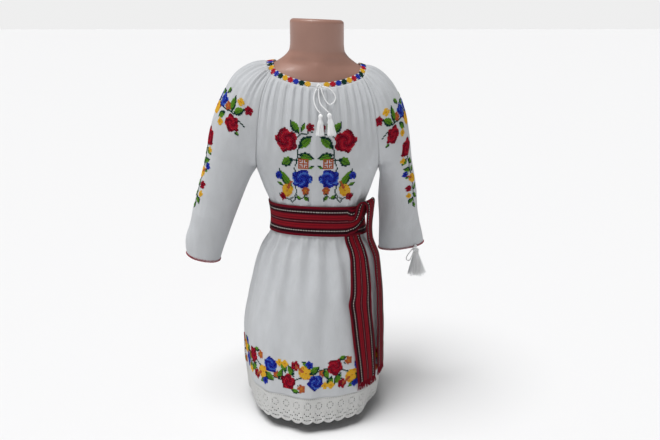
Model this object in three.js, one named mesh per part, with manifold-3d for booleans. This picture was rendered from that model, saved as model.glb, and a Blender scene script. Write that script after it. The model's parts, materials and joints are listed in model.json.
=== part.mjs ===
// Child's Romanian folk dress with its woven belt, worn by a limbless dress form on a low stand.
//
// Frame: millimetres, +Z up, -Y the front, +X the wearer's left. The origin is the middle of the
// stand's underside. The dress is cut as a front, a back and two raglan sleeves, all gathered into
// one neckline. Each panel is a wall whose outer points come from a surface u across, v down.
import * as THREE from "three";
import { mergeVertices } from "three/addons/utils/BufferGeometryUtils.js";
import Module from "manifold-3d";

const wasm = await Module();
wasm.setup();

// Driving dimensions.
const CLOTH = 1.6; // wall of the cotton
const SEAM = 0.4; // gap between two sewn pieces
const BESIDE = 0.45; // gap to what a piece lies on
const UNDERARM_Z = 442; // where the side seam and the raglan seams meet
const LACE_SEAM_Z = 66; // where the lace is sewn to the skirt
const LACE_DROP = 42; // lace from its seam to the valleys of its scallops
const SCALLOP = 5; // depth of one scallop
const CASING = 9; // smooth casing for the drawstring round the neck
const NECK_WAVES = { front: 14, back: 12, sleeve: 6 }; // gathers at the neckline
const WAIST_WAVES = 11; // gathers at the waist in each of front and back
const GATHER = 1.9; // depth of a neckline gather, from its middle
const BELT_HEIGHT = 54;
const BELT_WALL = 2;
const BELT_EASE = 0.95; // from the crests of the waist gathers to the belt
const BELT_MID_Z = 354;
const BELT_RISE = 9; // the belt rides this much higher in front than at the sides
const BELT_SLANT = 0.045; // and drops this much for each millimetre towards +X
const CORD = 2; // thickness of the drawstrings
const HANG_TILT = 0.04; // the yoke hangs a little lower on the wearer's left
const SCALLOPS = 20; // scallops in each half of the lace

// The yoke, from the neckline (at 0) to the underarm (at 1). RAGLAN: the seams of the +X sleeve
// with the front and the back. CENTRE: centre front and centre back, and the degrees that a front
// or back row turns through from there to its seam.
const RAGLAN = [
  { at: 0, x: 70, frontY: -27, frontZ: 612, backY: 33, backZ: 622 },
  { at: 0.15, x: 84, frontY: -44, frontZ: 592, backY: 44, backZ: 601 },
  { at: 0.35, x: 94, frontY: -57, frontZ: 560, backY: 54, backZ: 568 },
  { at: 0.55, x: 99, frontY: -61, frontZ: 525, backY: 57, backZ: 530 },
  { at: 0.75, x: 103, frontY: -53, frontZ: 488, backY: 50, backZ: 491 },
  { at: 0.9, x: 106, frontY: -32, frontZ: 459, backY: 31, backZ: 460 },
  { at: 1, x: 108, frontY: 0, frontZ: 442, backY: 0, backZ: 442 },
];
const CENTRE = [
  { at: 0, frontY: -62, frontZ: 596, backY: 58, backZ: 625, bend: 70 },
  { at: 0.15, frontY: -73, frontZ: 577, backY: 65, backZ: 606, bend: 62 },
  { at: 0.35, frontY: -83, frontZ: 547, backY: 70, backZ: 573, bend: 56 },
  { at: 0.55, frontY: -88, frontZ: 514, backY: 71.5, backZ: 533, bend: 56 },
  { at: 0.75, frontY: -88, frontZ: 480, backY: 71, backZ: 490, bend: 64 },
  { at: 0.9, frontY: -86, frontZ: 456, backY: 69, backZ: 460, bend: 77 },
  { at: 1, frontY: -84, frontZ: 442, backY: 68, backZ: 442, bend: 90 },
];

// The body and skirt below the underarm. shift: how far the middle has swung towards -X.
const BODY = [
  { z: 442, half: 108, front: 84, back: 68, shift: 0 },
  { z: 412, half: 96, front: 80, back: 66, shift: 0 },
  { z: 385, half: 86, front: 75, back: 62, shift: 0 },
  { z: 354, half: 82, front: 72, back: 59, shift: 0 },
  { z: 324, half: 87, front: 77, back: 65, shift: 0 },
  { z: 290, half: 105, front: 94, back: 82, shift: 0 },
  { z: 250, half: 116, front: 109, back: 95, shift: -1 },
  { z: 205, half: 124, front: 121, back: 105, shift: -4 },
  { z: 146, half: 130, front: 134, back: 112, shift: -7 },
  { z: 91, half: 129, front: 145, back: 117, shift: -8 },
  { z: 66, half: 127, front: 149, back: 119, shift: -9 },
  { z: 15, half: 120, front: 155, back: 119, shift: -11 },
];

// The sleeves, yoke part: the line over the shoulder and outer arm. arc: degrees that a row turns
// through from that line to its seam, as far as WIDEST; depth: half the sleeve's depth from there.
const WIDEST = 0.55;
const SHOULDER = {
  right: [
    { at: 0, x: 74, y: 2, z: 624, arc: 60, depth: 60 },
    { at: 0.15, x: 103, y: 3, z: 620, arc: 75, depth: 60 },
    { at: 0.35, x: 139, y: 3, z: 600, arc: 90, depth: 60 },
    { at: 0.55, x: 163, y: 2, z: 565, arc: 98.2, depth: 59.6 },
    { at: 0.75, x: 181, y: 0, z: 527, arc: 110, depth: 54.8 },
    { at: 0.9, x: 190, y: -2, z: 497, arc: 136, depth: 46 },
    { at: 1, x: 195, y: -3, z: 474, arc: 180, depth: 42 },
  ],
  left: [
    { at: 0, x: 74, y: 2, z: 624, arc: 60, depth: 60 },
    { at: 0.15, x: 98, y: 4, z: 618, arc: 75, depth: 60 },
    { at: 0.35, x: 128, y: 8, z: 595, arc: 90, depth: 60 },
    { at: 0.55, x: 147, y: 12, z: 564, arc: 98.2, depth: 59.6 },
    { at: 0.75, x: 159, y: 15, z: 529, arc: 110, depth: 54.8 },
    { at: 0.9, x: 165, y: 16, z: 494, arc: 136, depth: 46 },
    { at: 1, x: 168, y: 16, z: 470, arc: 180, depth: 42 },
  ],
};

// The sleeves, tube part, from the underarm (at 1) to the cuff (at 2): the inner line along the
// underarm seam, the outer line, and half the depth between them from front to back.
const ARM = {
  right: [
    { at: 1, innerX: 108, innerY: 0, innerZ: 442, outerX: 195, outerY: -3, outerZ: 474, depth: 42 },
    { at: 1.12, innerX: 118, innerY: -2, innerZ: 427, outerX: 202, outerY: -5, outerZ: 448, depth: 41 },
    { at: 1.4, innerX: 138, innerY: -5, innerZ: 382, outerX: 214, outerY: -9, outerZ: 400, depth: 37 },
    { at: 1.7, innerX: 160, innerY: -9, innerZ: 327, outerX: 230, outerY: -13, outerZ: 344, depth: 33 },
    { at: 1.88, innerX: 172, innerY: -11, innerZ: 296, outerX: 239, outerY: -15, outerZ: 311, depth: 31 },
    { at: 2, innerX: 179, innerY: -12, innerZ: 274, outerX: 238, outerY: -16, outerZ: 288, depth: 30 },
  ],
  left: [
    { at: 1, innerX: 108, innerY: 0, innerZ: 442, outerX: 168, outerY: 16, outerZ: 470, depth: 42 },
    { at: 1.12, innerX: 112, innerY: 8, innerZ: 426, outerX: 172, outerY: 22, outerZ: 446, depth: 41 },
    { at: 1.4, innerX: 113, innerY: 26, innerZ: 382, outerX: 180, outerY: 40, outerZ: 394, depth: 36 },
    { at: 1.7, innerX: 116, innerY: 46, innerZ: 326, outerX: 193, outerY: 60, outerZ: 334, depth: 31 },
    { at: 1.88, innerX: 117, innerY: 58, innerZ: 291, outerX: 202, outerY: 72, outerZ: 298, depth: 29 },
    { at: 2, innerX: 118, innerY: 65, innerZ: 268, outerX: 206, outerY: 79, outerZ: 277, depth: 28 },
  ],
};

// The dress form: rings from the flat neck top to the flat hip. power: 2 is an ellipse, less is
// nearer a rhombus, as over the shoulders.
const FORM = [
  { z: 695, half: 42, front: 42, back: 42, y: 0, power: 2 },
  { z: 690, half: 45.5, front: 45.5, back: 45.5, y: 0, power: 2 },
  { z: 660, half: 45.5, front: 45, back: 45, y: 1, power: 2 },
  { z: 645, half: 47, front: 45, back: 46, y: 2, power: 2 },
  { z: 636, half: 53, front: 47, back: 48, y: 3, power: 1.9 },
  { z: 628, half: 63, front: 49, back: 50, y: 3, power: 1.6 },
  { z: 620.7, half: 75, front: 51, back: 52, y: 2, power: 1.42 },
  { z: 609, half: 98, front: 53, back: 54, y: 1, power: 1.5 },
  { z: 592, half: 113, front: 57, back: 56, y: 0, power: 1.7 },
  { z: 572, half: 121, front: 62, back: 57, y: 0, power: 2 },
  { z: 548, half: 121, front: 66, back: 58, y: 0, power: 2.1 },
  { z: 520, half: 111, front: 68, back: 58, y: 0, power: 2.1 },
  { z: 492, half: 97, front: 69, back: 57, y: 0, power: 2.1 },
  { z: 440, half: 89, front: 67, back: 54, y: 0, power: 2.1 },
  { z: 395, half: 80, front: 64, back: 51, y: 0, power: 2.1 },
  { z: 354, half: 77, front: 63, back: 50, y: 0, power: 2.1 },
  { z: 320, half: 81, front: 67, back: 54, y: 0, power: 2.1 },
  { z: 285, half: 93, front: 74, back: 64, y: 0, power: 2.1 },
  { z: 250, half: 98, front: 78, back: 72, y: 0, power: 2.1 },
  { z: 228, half: 96, front: 77, back: 72, y: 0, power: 2.1 },
  { z: 222, half: 91, front: 72, back: 67, y: 0, power: 2.1 },
];
const STAND = { poleRadius: 9, baseRadius: 92, baseEdge: 6, baseCrown: 10, neck: 16 };

// The belt's two ends, from the knot down. turn: degrees from the front towards +X. out: how far
// the middle of the strip stands out from the gathered skirt.
const TAIL_FRONT = [
  { turn: 42.5, out: 2.8, z: 327, width: 34 },
  { turn: 42, out: 5.9, z: 312, width: 34 },
  { turn: 38.5, out: 6.6, z: 282, width: 37 },
  { turn: 36.5, out: 6.4, z: 238, width: 42 },
  { turn: 35, out: 8, z: 224, width: 44 },
  { turn: 36.2, out: 6.8, z: 204, width: 43 },
  { turn: 39, out: 6, z: 150, width: 45 },
  { turn: 41.6, out: 6, z: 110, width: 45 },
  { turn: 43, out: 6, z: 84, width: 44 },
];
const TAIL_BACK = [
  { turn: 56, out: 8.4, z: 370, width: 40 },
  { turn: 57, out: 9.2, z: 386, width: 40 },
  { turn: 59, out: 13, z: 393, width: 37 },
  { turn: 62, out: 18, z: 386, width: 31 },
  { turn: 64, out: 19, z: 362, width: 26 },
  { turn: 64, out: 14, z: 318, width: 22 },
  { turn: 59.2, out: 8, z: 250, width: 22 },
  { turn: 58, out: 6.6, z: 160, width: 23 },
  { turn: 61, out: 6.2, z: 92, width: 26 },
];
// The belt's outer end, wound once more over the band: t up the band from -1 to 1.
const WRAP = [
  { turn: 33, low: -0.86, high: 0.72 },
  { turn: 41, low: -0.82, high: 0.84 },
  { turn: 49, low: -0.66, high: 1.08 },
  { turn: 57, low: -0.36, high: 1.3 },
  { turn: 63, low: -0.1, high: 1.36 },
];
const WRAP_OUT = 4.9; // from the gathered waist to the middle of the wrap

// The drawstring's bow at the throat and the tie at the left cuff: [x, y, z] along each cord.
const KNOTS = {
  neck_tie_knot: { at: [2.5, -71.3, 590.5], radii: [4.8, 4.2, 4.4] },
  cuff_tie_knot: { at: [187, 47, 277], radii: [3, 3, 3] },
};
const CORDS = {
  neck_tie_loop: [
    [7.8, -71.8, 590.4], [17, -73, 588.5], [26, -74, 581], [29.5, -76.5, 572], [26, -80, 565],
    [20, -81.5, 562.5], [14, -80.5, 568], [9.6, -78, 577], [5.9, -74.1, 587],
  ],
  neck_tie_left: [
    [-1, -73.3, 586.9], [-5, -77.8, 577], [-4.5, -83, 564], [0, -87.5, 555], [4.6, -90.2, 549.5],
  ],
  neck_tie_right: [
    [2.2, -74.8, 586.8], [2.6, -80, 574.5], [5, -85, 564], [11, -88.8, 557.5], [18.3, -91.6, 551.2],
  ],
  cuff_tie_loop: [
    [184, 45, 276], [178, 43, 268.5], [171.8, 42.2, 260.5], [169.3, 42, 253.8], [170.5, 42, 250.6],
    [173.6, 41.9, 249.3], [176.7, 41.8, 250.6], [177.9, 41.8, 253.8], [180.6, 41.6, 261],
    [183.2, 41.6, 268.5], [185.8, 42.8, 274.2],
  ],
};
const TASSELS = {
  neck_tassel_left: { top: [5.2, -90.6, 549], lean: [-0.03, -0.2, 0], length: 37, flare: 6.5 },
  neck_tassel_right: { top: [18.8, -91.7, 550.8], lean: [0.13, -0.16, 0], length: 39, flare: 6.5 },
  cuff_tassel: { top: [187.3, 46.9, 273.9], lean: [0.1, -0.02, 0], length: 55, flare: 11 },
};
const TASSEL_STRANDS = 12;

const rad = THREE.MathUtils.degToRad;
const smooth = (x, low, high) => THREE.MathUtils.smoothstep(x, low, high);
const mix = THREE.MathUtils.lerp;

/** Reads one named column of a table at any place, by a cubic that never overshoots its rows. */
function read(table, key, column, at) {
  const rows = table[0][key] < table[table.length - 1][key] ? table : [...table].reverse();
  const last = rows.length - 1;
  const x = THREE.MathUtils.clamp(at, rows[0][key], rows[last][key]);
  let i = 0;
  while (i < last - 1 && x > rows[i + 1][key]) i += 1;
  const step = (k) => rows[k + 1][key] - rows[k][key];
  const slope = (k) => (rows[k + 1][column] - rows[k][column]) / step(k);
  const tangent = (k) => {
    if (k === 0) return slope(0);
    if (k === last) return slope(last - 1);
    const a = slope(k - 1);
    const b = slope(k);
    return a * b <= 0 ? 0 : (2 * a * b) / (a + b);
  };
  const h = step(i);
  const t = (x - rows[i][key]) / h;
  const t2 = t * t;
  const t3 = t2 * t;
  return (
    (2 * t3 - 3 * t2 + 1) * rows[i][column] +
    (t3 - 2 * t2 + t) * h * tangent(i) +
    (3 * t2 - 2 * t3) * rows[i + 1][column] +
    (t3 - t2) * h * tangent(i + 1)
  );
}

/** The yoke hangs lower on one side; it fades out down to the waist. */
function tilted(point) {
  point.z -= point.x * HANG_TILT * smooth(point.z, 420, 600);
  return point;
}

/** Depth of the gathers d millimetres below the neckline: none in the casing, then fading. */
const neckDepth = (d) => GATHER * smooth(d, CASING, CASING + 9) * mix(1, 0.12, smooth(d, 22, 120));

/** How far the waist gathers stand out, rise millimetres above the middle of the belt. */
function waistDepth(rise) {
  const free = rise > 0 ? 1.7 * (1 - smooth(rise, 40, 90)) : 3.2 * (1 - smooth(-rise, 70, 190));
  return mix(0.7, free, smooth(Math.abs(rise), 30, 48));
}

/** One uneven wave for gathers: u runs over the panel, waves is how many lie in it. */
const wave = (u, waves, shift) => Math.cos(Math.PI * waves * (u + 0.018 * Math.sin(7 * u + shift)));

/** Degrees from the front towards +X of a place across the front or the back. */
const panelDegrees = (side, u) => (side === "front" ? u * 90 : 180 - u * 90);

/** The plain outer surface of the front or back, u from -1 to 1 across, v from 0 to 2 down. */
function bodyBase(side, u, v) {
  if (v < 1) {
    const seam = (name) => read(RAGLAN, "at", name, v);
    const centre = (name) => read(CENTRE, "at", name, v);
    const bend = rad(centre("bend"));
    const turn = u * bend;
    const across = Math.sin(turn) / Math.sin(bend);
    const middle = (Math.cos(turn) - Math.cos(bend)) / (1 - Math.cos(bend));
    const y = mix(seam(`${side}Y`), centre(`${side}Y`), middle);
    const z = mix(centre(`${side}Z`), seam(`${side}Z`), across * across);
    return tilted(new THREE.Vector3(seam("x") * across, y, z));
  }
  const z = mix(UNDERARM_Z, LACE_SEAM_Z, v - 1);
  return skirtRing(panelDegrees(side, u), z);
}

/** A point of the body below the underarm: degrees from the front towards +X, at height z. */
function skirtRing(degrees, z) {
  const a = rad(degrees);
  const depth = read(BODY, "z", Math.cos(a) > 0 ? "front" : "back", z);
  const square = 1 + 0.035 * Math.sin(2 * a) ** 2 * smooth(UNDERARM_Z - z, 0, 60);
  const x = read(BODY, "z", "half", z) * Math.sin(a) * square;
  return new THREE.Vector3(x + read(BODY, "z", "shift", z), -depth * Math.cos(a) * square, z);
}

/** Soft folds of the skirt, growing towards the hem. */
function skirtFold(degrees, z) {
  const a = rad(degrees);
  const grow = smooth(BELT_MID_Z - z, 40, 220);
  return grow * (2.2 * Math.cos(9 * a + 0.6) + 1.4 * Math.cos(14 * a + 2.1));
}

/** How far the gathers and folds of the front or back stand out at u, v. */
function bodyRelief(side, u, v) {
  const yoke = neckDepth(v * 150) * wave(u, NECK_WAVES[side], 1) * (v < 1 ? 1 : 0.5);
  const z = v < 1 ? read(CENTRE, "at", "frontZ", v) : mix(UNDERARM_Z, LACE_SEAM_Z, v - 1);
  const degrees = panelDegrees(side, u);
  const gathered = 1 - smooth(z, 440, 470);
  const waist = waistDepth(z - beltHeight(degrees)) * wave(u, WAIST_WAVES, 3) * gathered;
  const flatAtSeam = 1 - smooth(Math.abs(u), 0.93, 1);
  return (yoke + waist) * flatAtSeam + skirtFold(degrees, z);
}

/** How far the sleeve's edge is parted from the body's at the underarm, where both turn inwards. */
const parting = (v) => 0.8 * (v < 1 ? smooth(v, 0.6, 1) : 1 - smooth(v, 1.02, 1.15));

/** The plain outer surface of a sleeve, u from -1 (front) over the top to 1 (back), v down. */
function sleeveBase(side, u, v) {
  const mirror = side === "left" ? 1 : -1;
  let point;
  if (v < 1) {
    const seam = (name) => read(RAGLAN, "at", name, v);
    const top = (name) => read(SHOULDER[side], "at", name, v);
    const start = new THREE.Vector3(seam("x"), seam("frontY"), seam("frontZ"));
    const end = new THREE.Vector3(seam("x"), seam("backY"), seam("backZ"));
    const crown = new THREE.Vector3(top("x"), top("y"), top("z"));
    const between = start.clone().add(end).multiplyScalar(0.5);
    const rise = crown.clone().sub(between);
    between.addScaledVector(rise.clone().normalize(), parting(v));
    const chord = end.clone().sub(start).multiplyScalar(0.5);
    const half = chord.length();
    const open = v < WIDEST;
    const arc = open ? rad(top("arc")) : Math.PI - Math.asin(Math.min(1, half / top("depth")));
    const depth = open ? half / Math.sin(arc) : top("depth");
    const out = crown.clone().sub(between).divideScalar(1 - Math.cos(arc));
    const back = chord.divideScalar(Math.max(half, 1)).lerp(new THREE.Vector3(0, 1, 0), smooth(v, 0.9, 1));
    back.normalize().multiplyScalar(depth);
    const centre = crown.clone().sub(out);
    point = centre.addScaledVector(out, Math.cos(arc * u)).addScaledVector(back, Math.sin(arc * u));
  } else {
    const get = (name) => read(ARM[side], "at", name, v);
    const inner = new THREE.Vector3(get("innerX"), get("innerY"), get("innerZ"));
    const outer = new THREE.Vector3(get("outerX"), get("outerY"), get("outerZ"));
    inner.addScaledVector(outer.clone().sub(inner).normalize(), parting(v));
    const centre = inner.clone().add(outer).multiplyScalar(0.5);
    const out = outer.clone().sub(centre);
    const turned = new THREE.Vector3(-out.y, out.x, 0).normalize();
    const back = new THREE.Vector3(0, 1, 0).lerp(turned, smooth(v, 1, 1.3)).normalize();
    back.multiplyScalar(get("depth"));
    const a = Math.PI * u;
    point = centre.addScaledVector(out, Math.cos(a)).addScaledVector(back, Math.sin(a));
  }
  point.x *= mirror;
  return tilted(point);
}

/** How far the gathers and creases of a sleeve stand out at u, v. */
function sleeveRelief(u, v) {
  const flatAtSeam = 1 - smooth(Math.abs(u), 0.88, 1);
  const gathers = neckDepth(v * 150) * wave(u, NECK_WAVES.sleeve, 2);
  const creases = 1.5 * smooth(v, 0.7, 1.2) * Math.cos(5 * u + 2.6 * v) * Math.cos(7 * v);
  return (gathers + creases) * flatAtSeam;
}

/** The outward normal of a surface at u, v. */
function normalOf(surface, u, v, outward) {
  const e = 1e-3;
  const du = surface(u + e, v).sub(surface(u - e, v));
  const dv = surface(u, v + e).sub(surface(u, v - e));
  return du.cross(dv).normalize().multiplyScalar(outward);
}

/** Evenly spaced places from low to high, both of them included. */
function spread(columns, low = -1, high = 1) {
  return Array.from({ length: columns + 1 }, (_, i) => mix(low, high, i / columns));
}

/**
 * A wall of cloth from rows of outer points and the matching inner points. Rows may differ in
 * length; places holds each row's u. A closed wall joins its last column to its first.
 */
function wallGeometry(rows, closed) {
  const position = [];
  const index = [];
  const starts = [];
  let count = 0;
  for (const row of rows) {
    starts.push(count);
    count += row.places.length;
  }
  for (const key of ["outer", "inner"]) {
    for (const row of rows) for (const p of row[key]) position.push(p.x, p.y, p.z);
  }
  const face = (a, b, c) => {
    index.push(a, b, c, count + a, count + c, count + b);
  };
  for (let r = 0; r + 1 < rows.length; r += 1) {
    const up = rows[r].places;
    const low = rows[r + 1].places;
    const upAt = (i) => starts[r] + (i % up.length);
    const lowAt = (j) => starts[r + 1] + (j % low.length);
    const upEnd = closed ? up.length : up.length - 1;
    const lowEnd = closed ? low.length : low.length - 1;
    const place = (list, k) => (k < list.length ? list[k] : list[0] + 2);
    let i = 0;
    let j = 0;
    while (i < upEnd || j < lowEnd) {
      const upMiddle = i < upEnd ? place(up, i + 1) + place(up, i) : Infinity;
      const lowMiddle = j < lowEnd ? place(low, j + 1) + place(low, j) : Infinity;
      const alongUp = upMiddle <= lowMiddle;
      if (alongUp) {
        face(upAt(i), upAt(i + 1), lowAt(j));
        i += 1;
      } else {
        face(upAt(i), lowAt(j + 1), lowAt(j));
        j += 1;
      }
    }
  }
  const rim = (a, b) => index.push(a, count + b, b, a, count + a, count + b);
  const top = rows[0].places.length;
  const bottom = rows[rows.length - 1].places.length;
  const foot = starts[rows.length - 1];
  for (let i = 0; i < (closed ? top : top - 1); i += 1) rim(starts[0] + i, starts[0] + ((i + 1) % top));
  for (let i = 0; i < (closed ? bottom : bottom - 1); i += 1) rim(foot + ((i + 1) % bottom), foot + i);
  if (!closed) {
    for (let r = 0; r + 1 < rows.length; r += 1) {
      rim(starts[r + 1], starts[r]);
      rim(starts[r] + rows[r].places.length - 1, starts[r + 1] + rows[r + 1].places.length - 1);
    }
  }
  return facingOut(position, index);
}

/** A geometry with its faces turned outwards. */
function facingOut(position, index) {
  const at = (i) => new THREE.Vector3(position[3 * i], position[3 * i + 1], position[3 * i + 2]);
  let volume = 0;
  for (let f = 0; f < index.length; f += 3) {
    volume += at(index[f]).dot(at(index[f + 1]).cross(at(index[f + 2])));
  }
  if (volume < 0) {
    for (let f = 0; f < index.length; f += 3) [index[f + 1], index[f + 2]] = [index[f + 2], index[f + 1]];
  }
  const geometry = new THREE.BufferGeometry();
  geometry.setAttribute("position", new THREE.Float32BufferAttribute(position, 3));
  geometry.setIndex(index);
  return geometry;
}

/** Rows of a wall that follows a surface, raised by relief, with its inner points wall inside. */
function surfaceRows(lines, surface, relief, wall, outward) {
  return lines.map(({ v, places }) => {
    const outer = [];
    const inner = [];
    for (const u of places) {
      const n = normalOf(surface, u, v, outward);
      const p = surface(u, v).addScaledVector(n, relief(u, v));
      outer.push(p);
      inner.push(p.clone().addScaledVector(n, -wall));
    }
    return { places, outer, inner };
  });
}

/** Lines of columns for a panel: each entry of plan is [v, columns]. trim is the seam's share. */
function panelLines(plan, trim) {
  return plan.map(([v, columns]) => {
    const edge = 1 - trim(v);
    return { v, places: spread(columns, -edge, edge) };
  });
}

/** Share of a row, from its middle to its end, that a gap of mm takes at the end. */
function endShare(surface, v, mm) {
  const e = 1e-3;
  return (mm * e) / surface(1, v).distanceTo(surface(1 - e, v));
}

// Where the rows of points lie, v down from the neckline.
const YOKE_ROWS = [0.063, 0.1, 0.15, 0.22, 0.32, 0.47, 0.63, 0.8, 0.92, 1];
const BODY_ROWS = [1.08, 1.15, 1.19, 1.235, 1.28, 1.32, 1.4, 1.5, 1.62, 1.76, 1.88, 1.9988];
const ARM_ROWS = [1.06, 1.12, 1.25, 1.4, 1.55, 1.7, 1.82, 1.92, 2];
const BINDING_ROWS = [0, 0.029, 0.058];

/** Number of columns in a row of the front or back. */
function bodyColumns(v, waves) {
  if (v < 0.4) return 4 * waves;
  if (v <= 1) return 32;
  const underBelt = v > 1.17 && v < 1.3;
  if (v < 1.45) return underBelt ? 2 * WAIST_WAVES : 4 * WAIST_WAVES;
  return 28;
}

/** The front or the back of the dress, from the neck binding to the lace. */
function bodyPanel(side) {
  const surface = (u, v) => bodyBase(side, u, v);
  const lines = [...YOKE_ROWS, ...BODY_ROWS].map((v) => {
    const edge = 1 - endShare(surface, v, SEAM / 2);
    return { v, places: spread(bodyColumns(v, NECK_WAVES[side]), -edge, edge) };
  });
  const outward = side === "front" ? -1 : 1;
  const relief = (u, v) => bodyRelief(side, u, v);
  return wallGeometry(surfaceRows(lines, surface, relief, CLOTH, outward), false);
}

/** One raglan sleeve, open along its underarm seam by the seam's gap. */
function sleevePanel(side) {
  const surface = (u, v) => sleeveBase(side, u, v);
  const lines = [...YOKE_ROWS, ...ARM_ROWS].map((v) => {
    const edge = 1 - endShare(surface, v, SEAM / 2);
    return { v, places: spread(v <= 1 ? 4 * NECK_WAVES.sleeve : 18, -edge, edge) };
  });
  const outward = side === "left" ? -1 : 1;
  return wallGeometry(surfaceRows(lines, surface, sleeveRelief, CLOTH, outward), false);
}

/** The whole neck edge as one surface: w runs once round from the right shoulder seam over the front. */
function neckSurface(w, v) {
  const turn = ((w % 4) + 4) % 4;
  if (turn < 1) return bodyBase("front", 2 * turn - 1, v);
  if (turn < 2) return sleeveBase("left", 2 * turn - 3, v);
  if (turn < 3) return bodyBase("back", 5 - 2 * turn, v);
  return sleeveBase("right", 7 - 2 * turn, v);
}

/** The band that binds the neck edge. */
function neckBinding() {
  const places = [];
  const share = [18, 10, 16, 10];
  for (let part = 0; part < 4; part += 1) {
    for (let i = 0; i < share[part]; i += 1) places.push(part + i / share[part]);
  }
  const lines = BINDING_ROWS.map((v) => ({ v, places }));
  const rows = surfaceRows(lines, neckSurface, () => 0, CLOTH, -1);
  return wallGeometry(rows, true);
}

/** The lace round half of the hem, with scallops along its lower edge. */
function lacePanel(side) {
  const surface = (u, v) => skirtRing(panelDegrees(side, u), LACE_SEAM_Z - v);
  const edge = 1 - endShare(surface, 1, SEAM / 2);
  const scallop = (u) => SCALLOP * Math.abs(Math.sin(SCALLOPS * Math.PI * 0.5 * (u + 1)));
  const lines = [
    { v: SEAM, places: spread(28, -edge, edge) },
    { v: LACE_DROP / 2, places: spread(28, -edge, edge) },
    { v: LACE_DROP, places: spread(4 * SCALLOPS, -edge, edge) },
  ];
  const relief = (u, v) => skirtFold(panelDegrees(side, u), LACE_SEAM_Z - v);
  const rows = surfaceRows(lines, surface, relief, CLOTH, side === "front" ? -1 : 1);
  const last = rows[rows.length - 1];
  last.places.forEach((u, i) => {
    last.outer[i].z -= scallop(u);
    last.inner[i].z -= scallop(u);
  });
  return wallGeometry(rows, false);
}

/** Middle height of the belt at so many degrees from the front towards +X. */
function beltHeight(degrees) {
  const a = rad(degrees);
  const x = read(BODY, "z", "half", BELT_MID_Z) * Math.sin(a);
  return BELT_MID_Z + BELT_RISE * Math.max(0, Math.cos(a)) - BELT_SLANT * x;
}

/** A point out from the gathered waist: t from -1 at the belt's lower edge to 1 at its upper. */
function overWaist(degrees, t, out) {
  const z = beltHeight(degrees) + (t * BELT_HEIGHT) / 2;
  const along = skirtRing(degrees + 0.5, z).sub(skirtRing(degrees - 0.5, z));
  const up = skirtRing(degrees, z + 1).sub(skirtRing(degrees, z - 1));
  const normal = along.cross(up).normalize();
  return skirtRing(degrees, z).addScaledVector(normal, waistDepth((t * BELT_HEIGHT) / 2) + out);
}

/** A wall of even thickness on both sides of a grid of points, row by row. */
function stripGeometry(grid, wall, closed = false) {
  const rows = grid.map((row, r) => {
    const above = grid[Math.max(r - 1, 0)];
    const below = grid[Math.min(r + 1, grid.length - 1)];
    const outer = [];
    const inner = [];
    row.forEach((p, c) => {
      const n = row.length;
      const before = closed ? row[(c + n - 1) % n] : row[Math.max(c - 1, 0)];
      const after = closed ? row[(c + 1) % n] : row[Math.min(c + 1, n - 1)];
      const normal = below[c].clone().sub(above[c]).cross(after.clone().sub(before)).normalize();
      outer.push(p.clone().addScaledVector(normal, wall / 2));
      inner.push(p.clone().addScaledVector(normal, -wall / 2));
    });
    const places = closed ? row.map((_, c) => (2 * c) / row.length) : spread(row.length - 1);
    return { places, outer, inner };
  });
  return wallGeometry(rows, closed);
}

/** The belt where it goes round the waist. */
function beltBand() {
  const middle = BELT_EASE + BELT_WALL / 2;
  const grid = [1, 0.34, -0.34, -1].map((t) =>
    Array.from({ length: 44 }, (_, i) => overWaist((i * 360) / 44, t, middle)),
  );
  return stripGeometry(grid, BELT_WALL, true);
}

/** The belt's outer end where it crosses the band. */
function beltWrap() {
  const grid = WRAP.map(({ turn, low, high }) =>
    spread(4, low, high).map((t) => overWaist(turn, t, WRAP_OUT + 0.9 * smooth(t, 0.8, 1.2))),
  );
  return stripGeometry(grid, BELT_WALL);
}

/** The points of a hanging belt end, row by row. */
function tailGrid(table) {
  return table.map(({ turn, out, z, width }) => {
    const centre = skirtRing(turn, z);
    const radius = Math.hypot(centre.x, centre.y);
    return spread(4).map((place) => {
      const degrees = turn + THREE.MathUtils.radToDeg((place * width) / 2 / radius);
      const outwards = new THREE.Vector3(Math.sin(rad(degrees)), -Math.cos(rad(degrees)), 0);
      return skirtRing(degrees, z).addScaledVector(outwards, out);
    });
  });
}

/** Turns a geometry into a solid that can be joined to others. */
function toSolid(geometry) {
  const bare = geometry.clone();
  bare.deleteAttribute("normal");
  bare.deleteAttribute("uv");
  const merged = mergeVertices(bare, 1e-4);
  const vertProperties = new Float32Array(merged.attributes.position.array);
  const triVerts = new Uint32Array(merged.index.array);
  return new wasm.Manifold(new wasm.Mesh({ numProp: 3, vertProperties, triVerts }));
}

/** Joins geometries into one closed body. */
function fuse(geometries) {
  const solid = geometries.map(toSolid).reduce((sum, next) => sum.add(next));
  const mesh = solid.getMesh();
  const geometry = new THREE.BufferGeometry();
  geometry.setAttribute("position", new THREE.BufferAttribute(mesh.vertProperties, 3));
  geometry.setIndex(new THREE.BufferAttribute(mesh.triVerts, 1));
  return geometry;
}

/** A tapering thread of three sides from start to end, thick at the start. */
function thread(start, end, thick, thin) {
  const length = start.distanceTo(end);
  const geometry = new THREE.CylinderGeometry(thin / 2, thick / 2, length, 3);
  const turn = new THREE.Quaternion().setFromUnitVectors(
    new THREE.Vector3(0, 1, 0),
    end.clone().sub(start).normalize(),
  );
  geometry.applyQuaternion(turn);
  const middle = start.clone().add(end).multiplyScalar(0.5);
  return geometry.translate(middle.x, middle.y, middle.z);
}

const FRINGE = { strands: 18, length: 17, root: 4, thick: 1.9, thin: 1.3 };

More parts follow.
